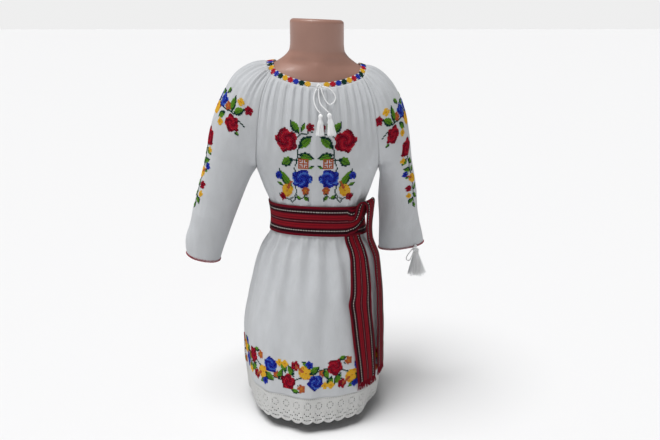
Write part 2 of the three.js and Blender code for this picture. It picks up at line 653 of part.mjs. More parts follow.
/** The fringe under a belt end: threads fused into a narrow strip. */
function beltFringe(table) {
  const grid = tailGrid(table);
  const edge = grid[grid.length - 1];
  const down = (p, drop) => p.clone().add(new THREE.Vector3(0, 0, -drop));
  const strip = [edge.map((p) => down(p, BESIDE)), edge.map((p) => down(p, BESIDE + FRINGE.root))];
  const threads = Array.from({ length: FRINGE.strands }, (_, i) => {
    const place = ((i + 0.5) / FRINGE.strands) * (edge.length - 1);
    const c = Math.floor(place);
    const top = edge[c].clone().lerp(edge[c + 1], place - c);
    const sway = new THREE.Vector3(Math.sin(3 * i), Math.cos(5 * i), 0).multiplyScalar(0.4);
    const length = FRINGE.length * (0.9 + 0.1 * Math.sin(7 * i));
    return thread(down(top, FRINGE.root - 1), down(top, length).add(sway), FRINGE.thick, FRINGE.thin);
  });
  return fuse([stripGeometry(strip, BELT_WALL), ...threads]);
}

/** A smooth cord of the drawstring through hand-placed points. */
function cord(points) {
  const path = new THREE.CatmullRomCurve3(points.map((p) => new THREE.Vector3(...p)), false, "centripetal");
  const section = new THREE.Shape();
  section.absarc(0, 0, CORD / 2, 0, 2 * Math.PI);
  const steps = Math.ceil(path.getLength() / 6);
  return new THREE.ExtrudeGeometry(section, { extrudePath: path, steps, curveSegments: 4 });
}

/** A tassel hanging from top: a bound head with loose threads fused into it. */
function tassel({ top, lean, length, flare }) {
  const head = new THREE.SphereGeometry(4, 8, 5).scale(1, 1, 1.25);
  const down = new THREE.Vector3(...lean).add(new THREE.Vector3(0, 0, -1)).normalize();
  const start = new THREE.Vector3(...top);
  const middle = start.clone().addScaledVector(down, 5);
  head.translate(middle.x, middle.y, middle.z);
  const threads = Array.from({ length: TASSEL_STRANDS }, (_, i) => {
    const a = i * 2.4;
    const r = Math.sqrt((i + 0.5) / TASSEL_STRANDS);
    const side = new THREE.Vector3(Math.cos(a), Math.sin(a), 0);
    const root = middle.clone().addScaledVector(side, 3.4 * r);
    const end = start.clone().addScaledVector(down, length * (0.94 + 0.06 * Math.sin(5 * i)));
    return thread(root, end.addScaledVector(side, flare * r), 1.7, 1.3);
  });
  return fuse([head, ...threads]);
}

/** The dress form's body, closed at the flat neck top and the flat hip. */
function formTorso() {
  const around = 28;
  const position = [];
  const index = [];
  for (const ring of FORM) {
    for (let i = 0; i < around; i += 1) {
      const a = (2 * Math.PI * i) / around;
      const depth = Math.cos(a) > 0 ? ring.front : ring.back;
      const bent = (t) => Math.sign(t) * Math.abs(t) ** (2 / ring.power);
      const x = ring.half * bent(Math.sin(a));
      position.push(...tilted(new THREE.Vector3(x, ring.y - depth * bent(Math.cos(a)), ring.z)));
    }
  }
  for (let r = 0; r + 1 < FORM.length; r += 1) {
    for (let i = 0; i < around; i += 1) {
      const a = r * around + i;
      const b = r * around + ((i + 1) % around);
      index.push(a, a + around, b, b, a + around, b + around);
    }
  }
  const foot = (FORM.length - 1) * around;
  for (let i = 1; i + 1 < around; i += 1) index.push(0, i, i + 1, foot, foot + i + 1, foot + i);
  return facingOut(position, index);
}

/** The pole between the form and its base. */
function formPole() {
  const foot = STAND.baseCrown + BESIDE;
  const top = FORM[FORM.length - 1].z - BESIDE;
  const pole = new THREE.CylinderGeometry(STAND.poleRadius, STAND.poleRadius, top - foot, 24);
  return pole.rotateX(Math.PI / 2).translate(0, 0, (top + foot) / 2);
}

/** The round base plate that the form stands on. */
function formBase() {
  const { baseRadius, baseEdge, baseCrown, neck } = STAND;
  const profile = [
    [0, 0],
    [baseRadius, 0],
    [baseRadius, baseEdge],
    [baseRadius - 4, baseEdge + 2],
    [neck, baseCrown],
    [0, baseCrown],
  ].map(([r, z]) => new THREE.Vector2(r, z));
  return new THREE.LatheGeometry(profile, 40).rotateX(Math.PI / 2);
}

const FINISH = {
  cotton: { color: 0xf0f1f3, roughness: 0.9, metalness: 0 },
  binding: { color: 0xe9e6e4, roughness: 0.9, metalness: 0 },
  lace: { color: 0xf3f1ec, roughness: 0.9, metalness: 0 },
  belt: { color: 0x8a1024, roughness: 0.85, metalness: 0 },
  cord: { color: 0xf5f4f1, roughness: 0.85, metalness: 0 },
  form: { color: 0xb98f85, roughness: 0.35, metalness: 0 },
  stand: { color: 0x8e8f92, roughness: 0.4, metalness: 0.6 },
};

const dress = new THREE.Group();

/** Adds one named piece to the dress. */
function add(name, finish, geometry) {
  const mesh = new THREE.Mesh(geometry, new THREE.MeshStandardMaterial(FINISH[finish]));
  mesh.name = name;
  dress.add(mesh);
}

for (const side of ["front", "back"]) {
  add(`${side}_panel`, "cotton", bodyPanel(side));
  add(`hem_lace_${side}`, "lace", lacePanel(side));
}
for (const side of ["left", "right"]) add(`sleeve_${side}`, "cotton", sleevePanel(side));
add("neck_binding", "binding", neckBinding());
add("belt_band", "belt", beltBand());
add("belt_wrap", "belt", beltWrap());
for (const [name, table] of [["front", TAIL_FRONT], ["back", TAIL_BACK]]) {
  add(`belt_tail_${name}`, "belt", stripGeometry(tailGrid(table), BELT_WALL));
  add(`belt_fringe_${name}`, "belt", beltFringe(table));
}
for (const [name, { at, radii }] of Object.entries(KNOTS)) {
  add(name, "cord", new THREE.SphereGeometry(1, 8, 6).scale(...radii).translate(...at));
}
for (const [name, points] of Object.entries(CORDS)) add(name, "cord", cord(points));
for (const [name, shape] of Object.entries(TASSELS)) add(name, "cord", tassel(shape));
add("form_torso", "form", formTorso());
add("form_pole", "stand", formPole());
add("form_base", "stand", formBase());

export default dress;
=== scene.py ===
"""Child's folk dress of white cotton with its woven belt, worn by a limbless dress form.

Everything follows the same surfaces as the solids of the frame. Lengths in the tables are
millimetres in the frame's axes: +Z up, -Y the front, +X the wearer's left. Meshes are in metres.
"""

from __future__ import annotations

import json
import logging
import math
from dataclasses import dataclass, field
from enum import Enum
from typing import Callable, Mapping, Sequence

import bpy
import numpy as np
from mathutils import Euler, Matrix, Vector
from mathutils.bvhtree import BVHTree

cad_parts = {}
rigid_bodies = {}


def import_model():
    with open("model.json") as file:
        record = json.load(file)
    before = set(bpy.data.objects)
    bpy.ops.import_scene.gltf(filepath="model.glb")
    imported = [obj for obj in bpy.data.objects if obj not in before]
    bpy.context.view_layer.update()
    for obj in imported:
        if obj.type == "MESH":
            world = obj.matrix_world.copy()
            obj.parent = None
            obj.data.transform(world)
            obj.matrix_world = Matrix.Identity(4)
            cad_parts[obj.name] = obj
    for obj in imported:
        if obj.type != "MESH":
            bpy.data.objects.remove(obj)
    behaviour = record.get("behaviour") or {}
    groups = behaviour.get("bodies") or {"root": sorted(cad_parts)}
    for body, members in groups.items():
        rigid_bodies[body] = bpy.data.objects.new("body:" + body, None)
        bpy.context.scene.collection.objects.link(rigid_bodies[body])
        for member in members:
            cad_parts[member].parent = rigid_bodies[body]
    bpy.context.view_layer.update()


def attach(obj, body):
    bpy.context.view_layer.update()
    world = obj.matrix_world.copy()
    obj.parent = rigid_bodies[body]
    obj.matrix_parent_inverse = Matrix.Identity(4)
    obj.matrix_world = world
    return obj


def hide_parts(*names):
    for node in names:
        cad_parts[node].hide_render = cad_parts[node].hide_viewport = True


LOG = logging.getLogger("folk_dress")
MM = 0.001

Array = np.ndarray
Surface = Callable[[Array, Array], Array]
Triple = tuple[float, float, float]
Piece = bpy.types.Object
Material = bpy.types.Material
Socket = bpy.types.NodeSocket


def smooth(x: Array | float, low: float, high: float) -> Array:
    """Rise smoothly from 0 at low to 1 at high."""
    t = np.clip((np.asarray(x, dtype=float) - low) / (high - low), 0.0, 1.0)
    return t * t * (3.0 - 2.0 * t)


def mix(a: Array | float, b: Array | float, t: Array | float) -> Array:
    """Blend from a to b by t."""
    return a + (b - a) * t


def stack(x: Array, y: Array, z: Array) -> Array:
    """Join three coordinate arrays into points."""
    return np.stack(np.broadcast_arrays(x, y, z), axis=-1).astype(float)


def unit(vectors: Array) -> Array:
    """Scale vectors to length one."""
    return vectors / np.maximum(np.linalg.norm(vectors, axis=-1, keepdims=True), 1e-9)


def cubic(t: Array | float, start: Array, leaving: Array, end: Array, arriving: Array) -> Array:
    """Read a cubic between two values and their slopes; t runs from 0 to 1."""
    t2, t3 = t * t, t * t * t
    near = (2 * t3 - 3 * t2 + 1) * start + (t3 - 2 * t2 + t) * leaving
    return near + (3 * t2 - 2 * t3) * end + (t3 - t2) * arriving


@dataclass(frozen=True)
class Table:
    """Measured rows that are read between by a cubic which never overshoots them.

    The first name in columns is the key that rows are looked up by.
    """

    columns: str
    rows: tuple[tuple[float, ...], ...]

    def point(self, columns: str, at: Array | float) -> Array:
        """Read points from three columns."""
        return stack(*(self.read(column, at) for column in columns.split()))

    def read(self, column: str, at: Array | float) -> Array:
        """Read one column.

        Args:
            column: Name of the column.
            at: Places along the key, held to the table's ends.

        Returns:
            The values at those places.
        """
        data = np.array(sorted(self.rows), dtype=float)
        x, y = data[:, 0], data[:, self.columns.split().index(column)]
        step = np.diff(x)
        slope = np.diff(y) / step
        left, right = slope[:-1], slope[1:]
        total = np.where(left + right == 0.0, 1.0, left + right)
        inner = np.where(left * right > 0.0, 2.0 * left * right / total, 0.0)
        tangent = np.concatenate([slope[:1], inner, slope[-1:]])
        at = np.clip(np.asarray(at, dtype=float), x[0], x[-1])
        i = np.clip(np.searchsorted(x, at, side="right") - 1, 0, len(step) - 1)
        run = step[i]
        return cubic((at - x[i]) / run, y[i], run * tangent[i], y[i + 1], run * tangent[i + 1])


class Side(Enum):
    """The four cloth panels that meet in the neckline."""

    FRONT = "front"
    BACK = "back"
    LEFT = "left"
    RIGHT = "right"

    @property
    def outward(self) -> float:
        """Sign that turns the panel's cross product to the outside."""
        return -1.0 if self in (Side.FRONT, Side.LEFT) else 1.0

    @property
    def waves(self) -> int:
        """Gathers of this panel at the neckline."""
        return {Side.FRONT: 14, Side.BACK: 12}.get(self, 6)


SLEEVES = (Side.LEFT, Side.RIGHT)

# The yoke runs from the neckline (at 0) to the underarm (at 1), and a sleeve on to its cuff (at 2).
# RAGLAN is the seams of the left sleeve with the front and the back, CENTRE the middle of both with
# the degrees a row turns through to its seam, BODY the skirt's half width and depths.
RAGLAN = Table(
    "at x front_y front_z back_y back_z",
    (
        (0, 70, -27, 612, 33, 622), (0.15, 84, -44, 592, 44, 601), (0.35, 94, -57, 560, 54, 568),
        (0.55, 99, -61, 525, 57, 530), (0.75, 103, -53, 488, 50, 491), (0.9, 106, -32, 459, 31, 460),
        (1, 108, 0, 442, 0, 442),
    ),
)
CENTRE = Table(
    "at front_y front_z back_y back_z bend",
    (
        (0, -62, 596, 58, 625, 70), (0.15, -73, 577, 65, 606, 62), (0.35, -83, 547, 70, 573, 56),
        (0.55, -88, 514, 71.5, 533, 56), (0.75, -88, 480, 71, 490, 64), (0.9, -86, 456, 69, 460, 77),
        (1, -84, 442, 68, 442, 90),
    ),
)
BODY = Table(
    "z half front back shift",
    (
        (442, 108, 84, 68, 0), (412, 96, 80, 66, 0), (385, 86, 75, 62, 0), (354, 82, 72, 59, 0),
        (324, 87, 77, 65, 0), (290, 105, 94, 82, 0), (250, 116, 109, 95, -1), (205, 124, 121, 105, -4),
        (146, 130, 134, 112, -7), (91, 129, 145, 117, -8), (66, 127, 149, 119, -9),
        (15, 120, 155, 119, -11),
    ),
)
SHOULDER_RIGHT = Table(
    "at x y z arc depth",
    (
        (0, 74, 2, 624, 60, 60), (0.15, 103, 3, 620, 75, 60), (0.35, 139, 3, 600, 90, 60),
        (0.55, 163, 2, 565, 98.2, 59.6), (0.75, 181, 0, 527, 110, 54.8), (0.9, 190, -2, 497, 136, 46),
        (1, 195, -3, 474, 180, 42),
    ),
)
SHOULDER_LEFT = Table(
    "at x y z arc depth",
    (
        (0, 74, 2, 624, 60, 60), (0.15, 98, 4, 618, 75, 60), (0.35, 128, 8, 595, 90, 60),
        (0.55, 147, 12, 564, 98.2, 59.6), (0.75, 159, 15, 529, 110, 54.8), (0.9, 165, 16, 494, 136, 46),
        (1, 168, 16, 470, 180, 42),
    ),
)
ARM_RIGHT = Table(
    "at in_x in_y in_z out_x out_y out_z depth",
    (
        (1, 108, 0, 442, 195, -3, 474, 42), (1.12, 118, -2, 427, 202, -5, 448, 41),
        (1.4, 138, -5, 382, 214, -9, 400, 37), (1.7, 160, -9, 327, 230, -13, 344, 33),
        (1.88, 172, -11, 296, 239, -15, 311, 31), (2, 179, -12, 274, 238, -16, 288, 30),
    ),
)
ARM_LEFT = Table(
    "at in_x in_y in_z out_x out_y out_z depth",
    (
        (1, 108, 0, 442, 168, 16, 470, 42), (1.12, 112, 8, 426, 172, 22, 446, 41),
        (1.4, 113, 26, 382, 180, 40, 394, 36), (1.7, 116, 46, 326, 193, 60, 334, 31),
        (1.88, 117, 58, 291, 202, 72, 298, 29), (2, 118, 65, 268, 206, 79, 277, 28),
    ),
)


@dataclass(frozen=True)
class DressShape:
    """The surfaces that every piece of cloth follows."""

    underarm_z: float = 442.0
    lace_seam_z: float = 66.0
    casing: float = 9.0
    gather: float = 1.9
    waist_waves: int = 11
    belt_mid_z: float = 354.0
    belt_height: float = 54.0
    belt_rise: float = 9.0
    belt_slant: float = 0.045
    hang_tilt: float = 0.04
    widest: float = 0.55
    raglan: Table = RAGLAN
    centre: Table = CENTRE
    body: Table = BODY
    shoulders: Mapping[Side, Table] = field(
        default_factory=lambda: {Side.RIGHT: SHOULDER_RIGHT, Side.LEFT: SHOULDER_LEFT}
    )
    arms: Mapping[Side, Table] = field(default_factory=lambda: {Side.RIGHT: ARM_RIGHT, Side.LEFT: ARM_LEFT})

    def tilted(self, points: Array) -> Array:
        """Let the yoke hang lower towards +X, fading out down to the waist."""
        z = points[..., 2]
        drop = points[..., 0] * self.hang_tilt * smooth(z, 420.0, 600.0)
        return stack(points[..., 0], points[..., 1], z - drop)

    def panel_degrees(self, side: Side, u: Array) -> Array:
        """Degrees from the front towards +X of a place across the front or the back."""
        return 90.0 * u if side is Side.FRONT else 180.0 - 90.0 * u

    def skirt_ring(self, degrees: Array, z: Array) -> Array:
        """Point of the body below the underarm, at an angle from the front and a height."""
        a = np.radians(degrees)
        front = self.body.read("front", z)
        depth = np.where(np.cos(a) > 0, front, self.body.read("back", z))
        square = 1 + 0.035 * np.sin(2 * a) ** 2 * smooth(self.underarm_z - z, 0, 60)
        x = self.body.read("half", z) * np.sin(a) * square + self.body.read("shift", z)
        return stack(x, -depth * np.cos(a) * square, z)

    def body_point(self, side: Side, u: Array, v: Array) -> Array:
        """Plain outer surface of the front or back.

        Args:
            side: FRONT or BACK.
            u: Across, from -1 to 1.
            v: Down, 0 at the neckline, 1 at the underarm, 2 at the lace.
        """
        name = side.value
        above = np.minimum(v, 1.0)
        bend = np.radians(self.centre.read("bend", above))
        turn = u * bend
        across = np.sin(turn) / np.sin(bend)
        middle = (np.cos(turn) - np.cos(bend)) / (1 - np.cos(bend))
        seam_y = self.raglan.read(f"{name}_y", above)
        seam_z = self.raglan.read(f"{name}_z", above)
        y = mix(seam_y, self.centre.read(f"{name}_y", above), middle)
        z = mix(self.centre.read(f"{name}_z", above), seam_z, across**2)
        yoke = self.tilted(stack(self.raglan.read("x", above) * across, y, z))
        down = mix(self.underarm_z, self.lace_seam_z, np.maximum(v, 1.0) - 1.0)
        skirt = self.skirt_ring(self.panel_degrees(side, u), down)
        return np.where((np.asarray(v) < 1.0)[..., None], yoke, skirt)

    def _shoulder_point(self, side: Side, u: Array, v: Array) -> Array:
        """Point of a sleeve above the underarm, before it is mirrored."""
        top = self.shoulders[side]
        start, end = self.raglan.point("x front_y front_z", v), self.raglan.point("x back_y back_z", v)
        crown = top.point("x y z", v)
        between = (start + end) / 2
        chord = (end - start) / 2
        half = np.linalg.norm(chord, axis=-1)
        depth = top.read("depth", v)
        closing = math.pi - np.arcsin(np.minimum(1.0, half / depth))
        arc = np.where(v < self.widest, np.radians(top.read("arc", v)), closing)
        depth = np.where(v < self.widest, half / np.sin(arc), depth)
        out = (crown - between) / (1 - np.cos(arc))[..., None]
        along = chord / np.maximum(half, 1.0)[..., None]
        back = mix(along, np.array([0.0, 1.0, 0.0]), smooth(v, 0.9, 1.0)[..., None])
        back = unit(back) * depth[..., None]
        a = (arc * u)[..., None]
        return crown - out + out * np.cos(a) + back * np.sin(a)

    def _arm_point(self, side: Side, u: Array, v: Array) -> Array:
        """Point of a sleeve below the underarm, before it is mirrored."""
        arm = self.arms[side]
        inner, outer = arm.point("in_x in_y in_z", v), arm.point("out_x out_y out_z", v)
        centre = (inner + outer) / 2
        out = outer - centre
        turned = unit(stack(-out[..., 1], out[..., 0], np.zeros_like(out[..., 0])))
        back = mix(np.array([0.0, 1.0, 0.0]), turned, smooth(v, 1.0, 1.3)[..., None])
        back = unit(back) * arm.read("depth", v)[..., None]
        a = (math.pi * u)[..., None]
        return centre + out * np.cos(a) + back * np.sin(a)

    def sleeve_point(self, side: Side, u: Array, v: Array) -> Array:
        """Plain outer surface of a sleeve.

        Args:
            side: LEFT or RIGHT.
            u: From -1 at the front seam over the top to 1 at the back seam.
            v: Down, 0 at the neckline, 1 at the underarm, 2 at the cuff.
        """
        u, v = np.broadcast_arrays(np.asarray(u, float), np.asarray(v, float))
        above = self._shoulder_point(side, u, np.minimum(v, 1.0 - 1e-9))
        below = self._arm_point(side, u, np.maximum(v, 1.0))
        points = np.where((v < 1.0)[..., None], above, below)
        points[..., 0] *= 1.0 if side is Side.LEFT else -1.0
        return self.tilted(points)

    def point(self, side: Side, u: Array, v: Array) -> Array:
        """Plain outer surface of any panel."""
        return self.sleeve_point(side, u, v) if side in SLEEVES else self.body_point(side, u, v)

    def neck_point(self, w: Array, v: Array) -> Array:
        """Point of the whole neck edge; w runs once round, one unit to each panel."""
        w, v = np.broadcast_arrays(np.mod(np.asarray(w, float), 4.0), np.asarray(v, float))
        runs = (
            (Side.FRONT, 2 * w - 1),
            (Side.LEFT, 2 * w - 3),
            (Side.BACK, 5 - 2 * w),
            (Side.RIGHT, 7 - 2 * w),
        )
        points = np.zeros(w.shape + (3,))
        for index, (side, u) in enumerate(runs):
            here = (w >= index) & (w < index + 1)
            points[here] = self.point(side, u[here], v[here])
        return points

    def neck_depth(self, down: Array) -> Array:
        """Depth of the neckline gathers, so many millimetres below the edge."""
        fade = mix(1.0, 0.12, smooth(down, 22, 120))
        return self.gather * smooth(down, self.casing, self.casing + 9) * fade

    def waist_depth(self, rise: Array) -> Array:
        """How far the waist gathers stand out, so far above the middle of the belt."""
        above = 1.7 * (1 - smooth(rise, 40, 90))
        below = 3.2 * (1 - smooth(-rise, 70, 190))
        return mix(0.7, np.where(rise > 0, above, below), smooth(np.abs(rise), 30, 48))

    def belt_z(self, degrees: Array) -> Array:
        """Height of the belt's middle at an angle from the front towards +X."""
        a = np.radians(degrees)
        x = self.body.read("half", self.belt_mid_z) * np.sin(a)
        return self.belt_mid_z + self.belt_rise * np.maximum(0, np.cos(a)) - self.belt_slant * x

    def over_waist(self, degrees: Array, t: Array, out: Array) -> Array:
        """Point out from the gathered waist; t is -1 to 1 from the belt's lower edge up."""
        z = self.belt_z(degrees) + t * self.belt_height / 2
        along = self.skirt_ring(degrees + 0.5, z) - self.skirt_ring(degrees - 0.5, z)
        up = self.skirt_ring(degrees, z + 1) - self.skirt_ring(degrees, z - 1)
        normal = unit(np.cross(along, up))
        lift = self.waist_depth(t * self.belt_height / 2) + out
        return self.skirt_ring(degrees, z) + normal * lift[..., None]

    def skirt_fold(self, degrees: Array, z: Array) -> Array:
        """Soft folds of the skirt, growing towards the hem."""
        a = np.radians(degrees)
        grow = smooth(self.belt_mid_z - z, 40, 220)
        return grow * (2.2 * np.cos(9 * a + 0.6) + 1.4 * np.cos(14 * a + 2.1))


def wave(u: Array, waves: float, shift: float) -> Array:
    """One uneven wave for gathers, with so many of them across a panel."""
    return np.cos(math.pi * waves * (u + 0.018 * np.sin(7 * u + shift)))


def normals(surface: Surface, u: Array, v: Array, outward: float) -> Array:
    """Unit normals of a surface.

    Args:
        surface: Function of u and v.
        u: Places across.
        v: Places down.
        outward: 1 or -1, whichever turns the cross product out.

    Returns:
        One normal for each place.
    """
    e = 1e-3
    across = surface(u + e, v) - surface(u - e, v)
    down = surface(u, v + e) - surface(u, v - e)
    return unit(np.cross(across, down)) * outward


def raised(surface: Surface, u: Array, v: Array, outward: float, lift: Array) -> Array:
    """Points of a surface, moved out along its normals."""
    return surface(u, v) + normals(surface, u, v, outward) * lift[..., None]


def looped(points: Array) -> Array:
    """Repeat a grid's first column after its last."""
    return np.concatenate([points, points[:, :1]], axis=1)


def link(name: str, data: bpy.types.ID) -> Piece:
    """Put a mesh, a camera or a light into the scene under a name."""
    piece = bpy.data.objects.new(name, data)
    bpy.context.scene.collection.objects.link(piece)
    return piece


def mesh_piece(name: str, points: Array, faces: Sequence, corner_uv: Array | None = None) -> Piece:
    """Make a smooth mesh object at the origin.

    Args:
        name: Name of the piece.
        points: Points in millimetres.
        faces: Corner indices of each face.
        corner_uv: UV of each face corner in millimetres of cloth, if it has any.

    Returns:
        The object.
    """
    mesh = bpy.data.meshes.new(name)
    mesh.from_pydata((np.asarray(points).reshape(-1, 3) * MM).tolist(), [], faces)
    if corner_uv is not None:
        layer = mesh.uv_layers.new(name="Cloth")
        layer.data.foreach_set("uv", np.asarray(corner_uv, dtype=np.float32).ravel())
    mesh.shade_smooth()
    return link(name, mesh)


@dataclass
class Sheet:
    """A sheet of points, row by row, with its place on the cloth in millimetres."""

    points: Array
    across: Array
    down: Array
    outward: float = 1.0
    closed: bool = False

    def corners(self) -> tuple[Array, Array]:
        """List the quads of the sheet.

        Returns:
            Vertex indices of each quad, and the UV of each of their corners.
        """
        rows, columns = self.points.shape[:2]
        r, c = np.meshgrid(
            np.arange(rows - 1), np.arange(columns if self.closed else columns - 1), indexing="ij"
        )
        near, far = c, (c + 1) % columns
        quads = [r * columns + near, r * columns + far]
        quads += [(r + 1) * columns + far, (r + 1) * columns + near]
        places = [(r, c), (r, c + 1), (r + 1, c + 1), (r + 1, c)]
        uv = [np.stack([self.across[p], self.down[p]], -1) for p in places]
        faces, corner = np.stack(quads, -1).reshape(-1, 4), np.stack(uv, -2).reshape(-1, 4, 2)
        if self.outward < 0:
            faces, corner = faces[:, ::-1], corner[:, ::-1]
        return faces, corner

    def cut(self) -> Triple:
        """Measure the sheet laid flat.

        Returns:
            Its greatest width and length in metres, and its area in square metres.
        """
        grid = looped(self.points) if self.closed else self.points
        width, length = lengths(grid, 1)[:, -1].max(), lengths(grid, 0)[-1].max()
        one, two = grid[1:, 1:] - grid[:-1, :-1], grid[1:, :-1] - grid[:-1, 1:]
        area = np.linalg.norm(np.cross(one, two), axis=-1).sum() / 2
        return round(width * MM, 4), round(length * MM, 4), round(area * MM * MM, 5)

    def piece(self, name: str) -> Piece:
        """Make the sheet an object."""
        faces, corner = self.corners()
        return mesh_piece(name, self.points, faces.tolist(), corner)


def lengths(points: Array, axis: int) -> Array:
    """Running length in millimetres along one axis of a grid of points."""
    step = np.linalg.norm(np.diff(points, axis=axis), axis=-1)
    shape = list(points.shape[:2])
    shape[axis] = 1
    return np.concatenate([np.zeros(shape), np.cumsum(step, axis=axis)], axis=axis)


def walled(piece: Piece, wall: float, offset: float = -1.0) -> Piece:
    """Give a sheet its wall, inwards from its surface unless offset says otherwise."""
    modifier = piece.modifiers.new("wall", "SOLIDIFY")
    modifier.thickness = wall * MM
    modifier.offset = offset
    return freeze(piece)


def freeze(piece: Piece) -> Piece:
    """Turn a piece's modifiers into plain mesh."""
    graph = bpy.context.evaluated_depsgraph_get()
    graph.update()
    mesh = bpy.data.meshes.new_from_object(piece.evaluated_get(graph))
    piece.modifiers.clear()
    piece.data = mesh
    return piece


def revolve(name: str, profile: Sequence[tuple[float, float]], around: int) -> Piece:
    """Turn a profile of (radius, height) in millimetres about the frame's Z axis."""
    a = np.linspace(0, 2 * math.pi, around, endpoint=False)
    ring = np.array([(r, z) for r, z in profile if r > 0.01])
    points = stack(ring[:, :1] * np.sin(a), -ring[:, :1] * np.cos(a), ring[:, 1:] * np.ones(around))
    count = len(ring) * around
    flat = np.zeros((len(ring), around + 1))
    faces = Sheet(points, flat, flat, closed=True).corners()[0].tolist()
    for i in range(around):
        j = (i + 1) % around
        faces += [[count, j, i], [count + 1, count - around + i, count - around + j]]
    caps = np.array([(0, 0, profile[0][1]), (0, 0, profile[-1][1])])
    return mesh_piece(name, np.vstack([points.reshape(-1, 3), caps]), faces)


def tube(name: str, path: Array, radius: float, sides: int) -> Piece:
    """Sweep a round section along a path, closed at both ends.

    Args:
        name: Name of the piece.
        path: Points in millimetres.
        radius: Radius of the section.
        sides: Corners of the section.

    Returns:
        The piece.
    """
    count = len(path)
    tangent = unit(np.gradient(path, axis=0))
    side = unit(np.cross(tangent[0], (0.3, 0.5, 0.81)))
    a = np.linspace(0, 2 * math.pi, sides, endpoint=False)
    rings = []
    for here, along in zip(path, tangent):
        side = unit(side - along * np.dot(side, along))
        other = np.cross(along, side)
        rings.append(here + radius * (np.outer(np.cos(a), side) + np.outer(np.sin(a), other)))
    across = np.broadcast_to(np.arange(sides + 1) * (2 * math.pi * radius / sides), (count, sides + 1))
    down = np.repeat(lengths(path[:, None, :], 0), sides + 1, axis=1)
    quads, corner = Sheet(np.array(rings), across, down, outward=-1.0, closed=True).corners()
    faces, last = quads.tolist(), (count - 1) * sides
    for i in range(sides):
        j = (i + 1) % sides
        faces += [[count * sides, i, j], [count * sides + 1, last + j, last + i]]
    points = np.vstack([np.array(rings).reshape(-1, 3), path[:1], path[-1:]])
    return mesh_piece(name, points, faces, np.concatenate([corner.reshape(-1, 2), np.zeros((6 * sides, 2))]))


@dataclass(frozen=True)
class Shade:
    """Plain values of a finish, set straight on the shader."""

    colour: Triple
    roughness: float
    metallic: float = 0.0
    sheen: float = 0.0
    coat: float = 0.0
    specular: float = 0.5


class Graph:
    """Short hand for building a node tree."""

    def __init__(self, tree: bpy.types.NodeTree) -> None:
        """Keep the tree."""
        self.tree = tree

    def feed(self, slot: Socket, value: object) -> None:
        """Wire a socket into an input, or set the input to a value."""
        if isinstance(value, Socket):
            self.tree.links.new(value, slot)
        else:
            slot.default_value = value

    def add(self, kind: str, *values: object, **settings: object) -> bpy.types.Node:
        """Add a node.

        Args:
            kind: Its type.
            values: What its inputs get, in order.
            settings: Its properties by name, and further inputs by their name after i_.

        Returns:
            The node.
        """
        node = self.tree.nodes.new(kind)
        for key, value in settings.items():
            if key.startswith("i_"):
                self.feed(node.inputs[key[2:].replace("_", " ")], value)
            else:
                setattr(node, key, value)
        for slot, value in zip(node.inputs, values):
            self.feed(slot, value)
        return node


